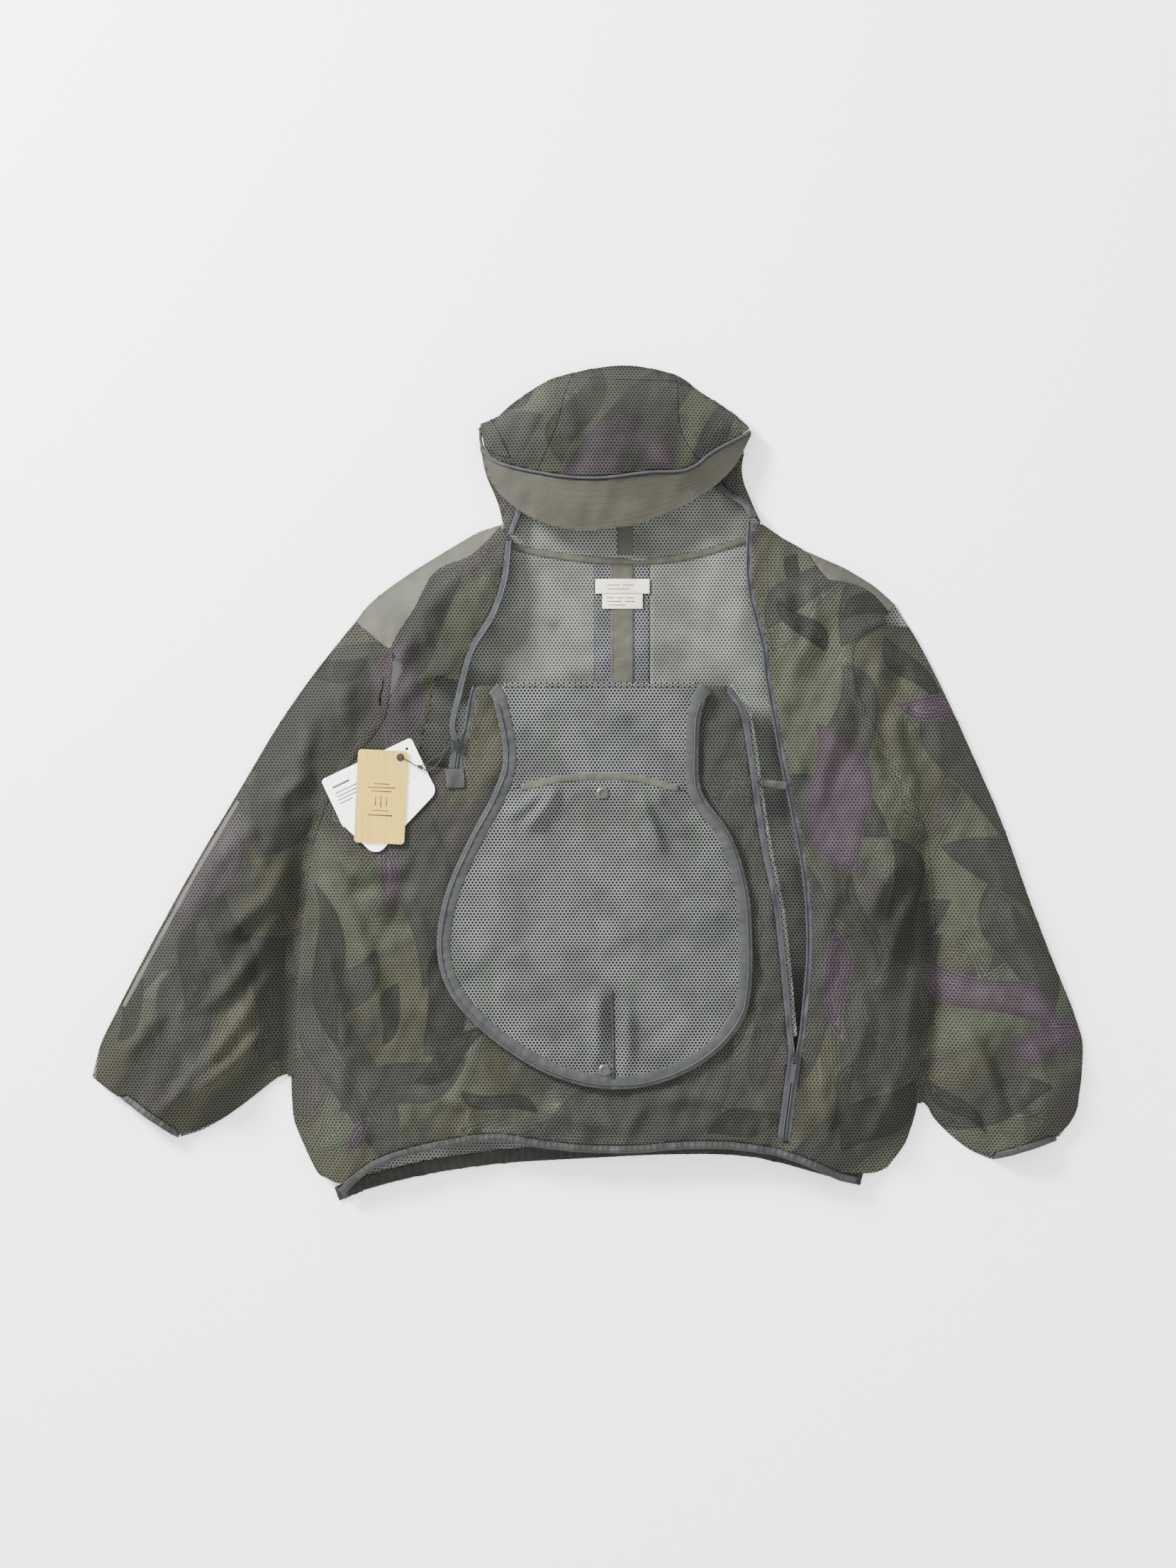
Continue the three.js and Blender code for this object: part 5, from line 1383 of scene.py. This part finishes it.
def build_veil(look, veil):
    start = (0.0, float(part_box("veil_neck_strip")[1][1]) + 4 * MM, 0.03)
    blend = ("jacket", "veil", start, (0.0, start[1] - 34 * MM, 0.03))
    net = look["veil_net"]
    panel("veil_strip_cloth", ["veil_neck_strip"], net, veil, 3.6 * MM, 0.8 * MM, "veil_net", blend=blend)
    panel("veil_net_cloth", ["face_net"], net, veil, 3.6 * MM, 0.8 * MM, "veil_net", "veil")
    edge = ribbon("veil_binding", "veil_edge_binding", look["veil_tape"], veil, "zip_tape", "veil",
                  blend=blend, thick=1.3, lift=-0.4, gather=0.25, wavelength=11, spacing=2.5)
    rows = [offset_line(edge, across) for across in (4.6, 5.8)]
    attach(stitches("veil_stitching", rows, veil, look["thread"], 4.0, 2.6), blend=blend, slot="veil_net")
    low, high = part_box("veil_neck_strip")
    top = np.column_stack([np.linspace(low[0] + 3 * MM, high[0] - 3 * MM, 60), np.full(60, high[1])])
    rolled = sweep("veil_roll", top, veil, FOLD_SECTION, net, closed=False)
    thicken(rolled, 0.7 * MM)
    attach(rolled, blend=blend, slot="veil_net")
    coil_line, _ = strip_line("veil_edge_coil")
    zip_coil("veil_coil", coil_line, above(veil, 0.9), look, ["veil_edge_coil"], blend=blend)
    dart = smoothed(resampled(plan_loop(DART), 50))
    attach(sweep("veil_dart", dart, veil, band(3.6, 1.6), look["binding"]), "veil", slot="zip_tape")
    ribbon("veil_seam_ribbon", "veil_seam_tape", look["grey_tape"], veil, "grey_nylon", "veil", thick=0.9,
           gather=0.2, wavelength=9)


HOOD_FOLDS = (
    (-100, 360, -60, 420, 8, 3, 6), (-70, 345, -40, 420, 10, 3, 6), (150, 372, 118, 420, 8, 3, -6),
    (20, 345, 40, 420, 16, 3, 8), (70, 345, 60, 400, 12, -3, 4), (-10, 360, -20, 430, 8, 3, 3),
    (110, 400, 100, 450, 6, 2, 2),
)
TIP_LIP = ((-117, 390), (-104, 394), (-99, 384), (-90, 366), (-84, 352), (-98, 354), (-110, 362), (-115, 376))


def build_hood(look):
    """The hood: crown, brim, its back under them, and the strips beside the face opening."""
    printed = look["printed_mesh"]
    crown_nodes = ["crown_left_panel", "crown_right_panel", "crown_top_panel", "crown_centre_panel"]
    crown = field_of(crown_nodes, 6)
    points = crown.points()
    free = np.clip((crown.flat() - 8 * MM) / (25 * MM), 0, 1)  # 0 at the hood's closed edge, 1 in the middle
    crown.raise_by((ripples(points, (1.5, 41, 60), (0.8, 42, 24)) + folds_of(points, HOOD_FOLDS)) * free)
    for node in crown_nodes:
        panel(node.replace("panel", "cloth"), [node], printed, crown, 3.2 * MM, body="hood")
    brim = field_of(["brim"], 3)
    brim.raise_by(ripples(brim.points(), (0.8, 43, 45)))
    panel("brim_cloth", ["brim"], look["brim"], brim, 2.6 * MM, 1.6 * MM, "grey_nylon", "hood", painted=False)
    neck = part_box("back_neck_tape")[1][1]
    blend = ("jacket", "hood", (0.03, neck + 8 * MM, 0.0), (0.03, neck + 56 * MM, 0.0))
    low = field_of(["hood_back"], 2)
    low.raise_by(0.9 * MM * (1 + ripple(low.points(), 44, 50)))
    panel("hood_back_cloth", ["hood_back"], look["pale_mesh"], low, 4.5 * MM, 0.8 * MM, "pale_mesh",
          blend=blend)
    sides = field_of(["hood_left_side", "hood_left_zip_tape", "hood_right_side", "hood_right_zip_tape"], 2)
    for side in ("hood_left", "hood_right"):
        panel(side + "_cloth", [side + "_side"], printed, sides, 2.5 * MM, blend=blend)
        ribbon(side + "_tape", side + "_zip_tape", look["tape"], sides, "zip_tape", "hood", blend=blend,
               thick=1.0)
        line, _ = strip_line(side + "_zip_tape")
        attach(coil_teeth(side + "_teeth", offset_line(line, 2.0), sides, look["coil"], 1.0), blend=blend,
               slot="zip_coil")
    ribbon("hood_seam_cover", "hood_back_seam_tape", look["nylon"], low, "printed_mesh", "hood", blend=blend,
           line=straight("hood_back_seam_tape"), width=17, thick=0.8, lift=0.4, roll=0.0)
    panel("brim_tip_lip", ["crown_left_panel"], printed, above(crown, 1.4), 2 * MM, body="hood",
          loop=plan_loop(TIP_LIP))
    piping_line, _ = strip_line("brim_piping", 2.0)

    def piping_height(points):
        return np.minimum(brim(points), crown(points)) - 0.3 * MM

    attach(sweep("piping", piping_line, piping_height, round_section(1.7), look["tape"]), "hood",
           slot="zip_tape", nodes=["brim_piping"])
    rows = [resampled(row, 120) for row in brim_rows(piping_line)]
    attach(stitches("brim_quilting", rows, brim, look["thread"], 3.2, 2.3), "hood", slot="grey_nylon")


def round_section(radius):
    angles = np.linspace(math.pi, -math.pi, 11)[:-1]
    return [(radius * math.cos(a), radius * (1 + math.sin(a))) for a in angles]


def brim_rows(seam):
    """Rows of quilting on the brim between its seam and its free edge."""
    run = resampled(seam, 60)
    free = smoothed(free_edge(outline(["brim"]), run))
    return [run + (free - run) * share for share in (0.1, 0.23, 0.36, 0.49, 0.62, 0.75, 0.86, 0.95)]


def free_edge(loop, seam):
    """The side of a loop away from a seam, in as many points as the seam, in step with it."""
    dense = resampled(loop, 400, closed=True)
    away = run_where(dense, nearest_on(dense, seam, closed=False)[1] > 4.5 * MM)
    if np.linalg.norm(away[0] - seam[0]) > np.linalg.norm(away[-1] - seam[0]):
        away = away[::-1]
    return resampled(away, len(seam))


# Marks on the tags: turn in degrees, material, slot, and bars as (x, y, length, width) from the centre.
TAG_MARKS = {
    "text_card": (25.4, "grey_ink", "white_card", (
        (-36, 16, 20, 2.2), (-28, 9, 36, 1.2), (-30, 5, 32, 1.2), (-27, 1, 38, 1.2), (-34, -3, 24, 1.2),
        (-28, -10, 36, 1.2), (-31, -14, 30, 1.2), (-36, -18, 20, 1.2))),
    "wood_tag": (87.3, "burnt", "bamboo", (
        (-20, 0, 1.6, 26), (-15, 0, 1.0, 18), (6, 0, 1.2, 22), (10, 0, 1.2, 30), (14, 0, 1.2, 16),
        (-5, -6, 9, 1.2), (-5, 0, 13, 1.2), (-5, 6, 9, 1.2))),
}
# CAD solids that are shown themselves: node, material, and how wide their edges are softened, in millimetres.
SHOWN = (("right_zip_bottom_stop", "metal", 0.25), ("left_zip_slider", "metal", 0.4),
         ("right_zip_slider", "metal", 0.4), ("left_zip_pull", "black", 0.3), ("right_zip_pull", "tape", 0.3),
         ("veil_upper_snap", "snap", 0.3), ("veil_lower_snap", "snap", 0.3), ("text_card", "card", 0.15),
         ("plain_card", "card", 0.15), ("wood_tag", "bamboo", 0.45), ("wood_tag_eyelet", "black", 0.25),
         ("tag_cord_seal", "black", 0.4))


def build_tags(look):
    for node, (turn, ink, slot, bars) in TAG_MARKS.items():
        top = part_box(node)[1][2]
        marks = turned_boxes(node + "_marks", centre_of(node), math.radians(turn), bars,
                             lambda points: np.full(len(points), top), look[ink])
        attach(marks, node, slot=slot)


def build_cord(look):
    """The hang tags' cord: from the eyelet through its seal, round in a loop, and back into the seal."""
    eye = centre_of("wood_tag_eyelet")
    seal = centre_of("tag_cord_seal")
    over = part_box("wood_tag")[1][2] + 2.45 * MM
    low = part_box("left_zip_outer")[1][2] + 1.25 * MM
    route = [(eye, 0, 0, over), (eye, 8, -3.5, over + 0.4 * MM), (seal, -5, 2, over),
             (seal, 4, 2.6, over - 0.4 * MM), (seal, 13, 9, low + 0.8 * MM), (seal, 23, 15, low),
             (seal, 30, 22, low), (seal, 32.5, 29, low), (seal, 30.5, 33.5, low + 0.3 * MM),
             (seal, 27.5, 30, low), (seal, 25.5, 20, low), (seal, 21.5, 8, low), (seal, 14, -1, low),
             (seal, 8, -3.5, low + 0.2 * MM), (seal, 3.6, -2.2, low + 0.6 * MM)]
    path = spline([np.array([base[0] + x * MM, base[1] + y * MM, z]) for base, x, y, z in route], 8)
    curve = bpy.data.curves.new("tag_cord_line", "CURVE")
    curve.dimensions = "3D"
    curve.bevel_depth = 0.65 * MM
    curve.bevel_resolution = 4
    line = curve.splines.new("POLY")
    line.points.add(len(path) - 1)
    for target, p in zip(line.points, path):
        target.co = (*p, 1)
    cord = linked("tag_cord_line", curve)
    curve.materials.append(look["cord"])
    attach(cord, "jacket", slot="black_cord", nodes=["tag_cord"])


def spline(points, steps):
    """A Catmull-Rom curve through points."""
    padded = [2 * points[0] - points[1], *points, 2 * points[-1] - points[-2]]
    made = []
    for a, b, c, d in zip(padded, padded[1:], padded[2:], padded[3:]):
        for t in np.arange(steps) / steps:
            made.append(0.5 * (2 * b + (c - a) * t + (2 * a - 5 * b + 4 * c - d) * t * t
                               + (3 * b - a - 3 * c + d) * t ** 3))
    made.append(points[-1])
    return np.array(made)


make_camera()
make_studio()
look = make_materials()
build_cord(look)
veil_outline = outline(["veil_edge_binding", "face_net", "veil_neck_strip"], -1)
front_field = front_heights()
lay_front(front_field, veil_outline)
veil_field = veil_heights(front_field, veil_outline)
back_field = back_heights(front_field)
build_body(look, front_field, back_field)
build_trims(look, front_field, back_field)
build_zips(look, front_field)
build_veil(look, veil_field)
build_hood(look)
build_tags(look)
for node, material, width in SHOWN:
    bevelled(node, width, look[material])
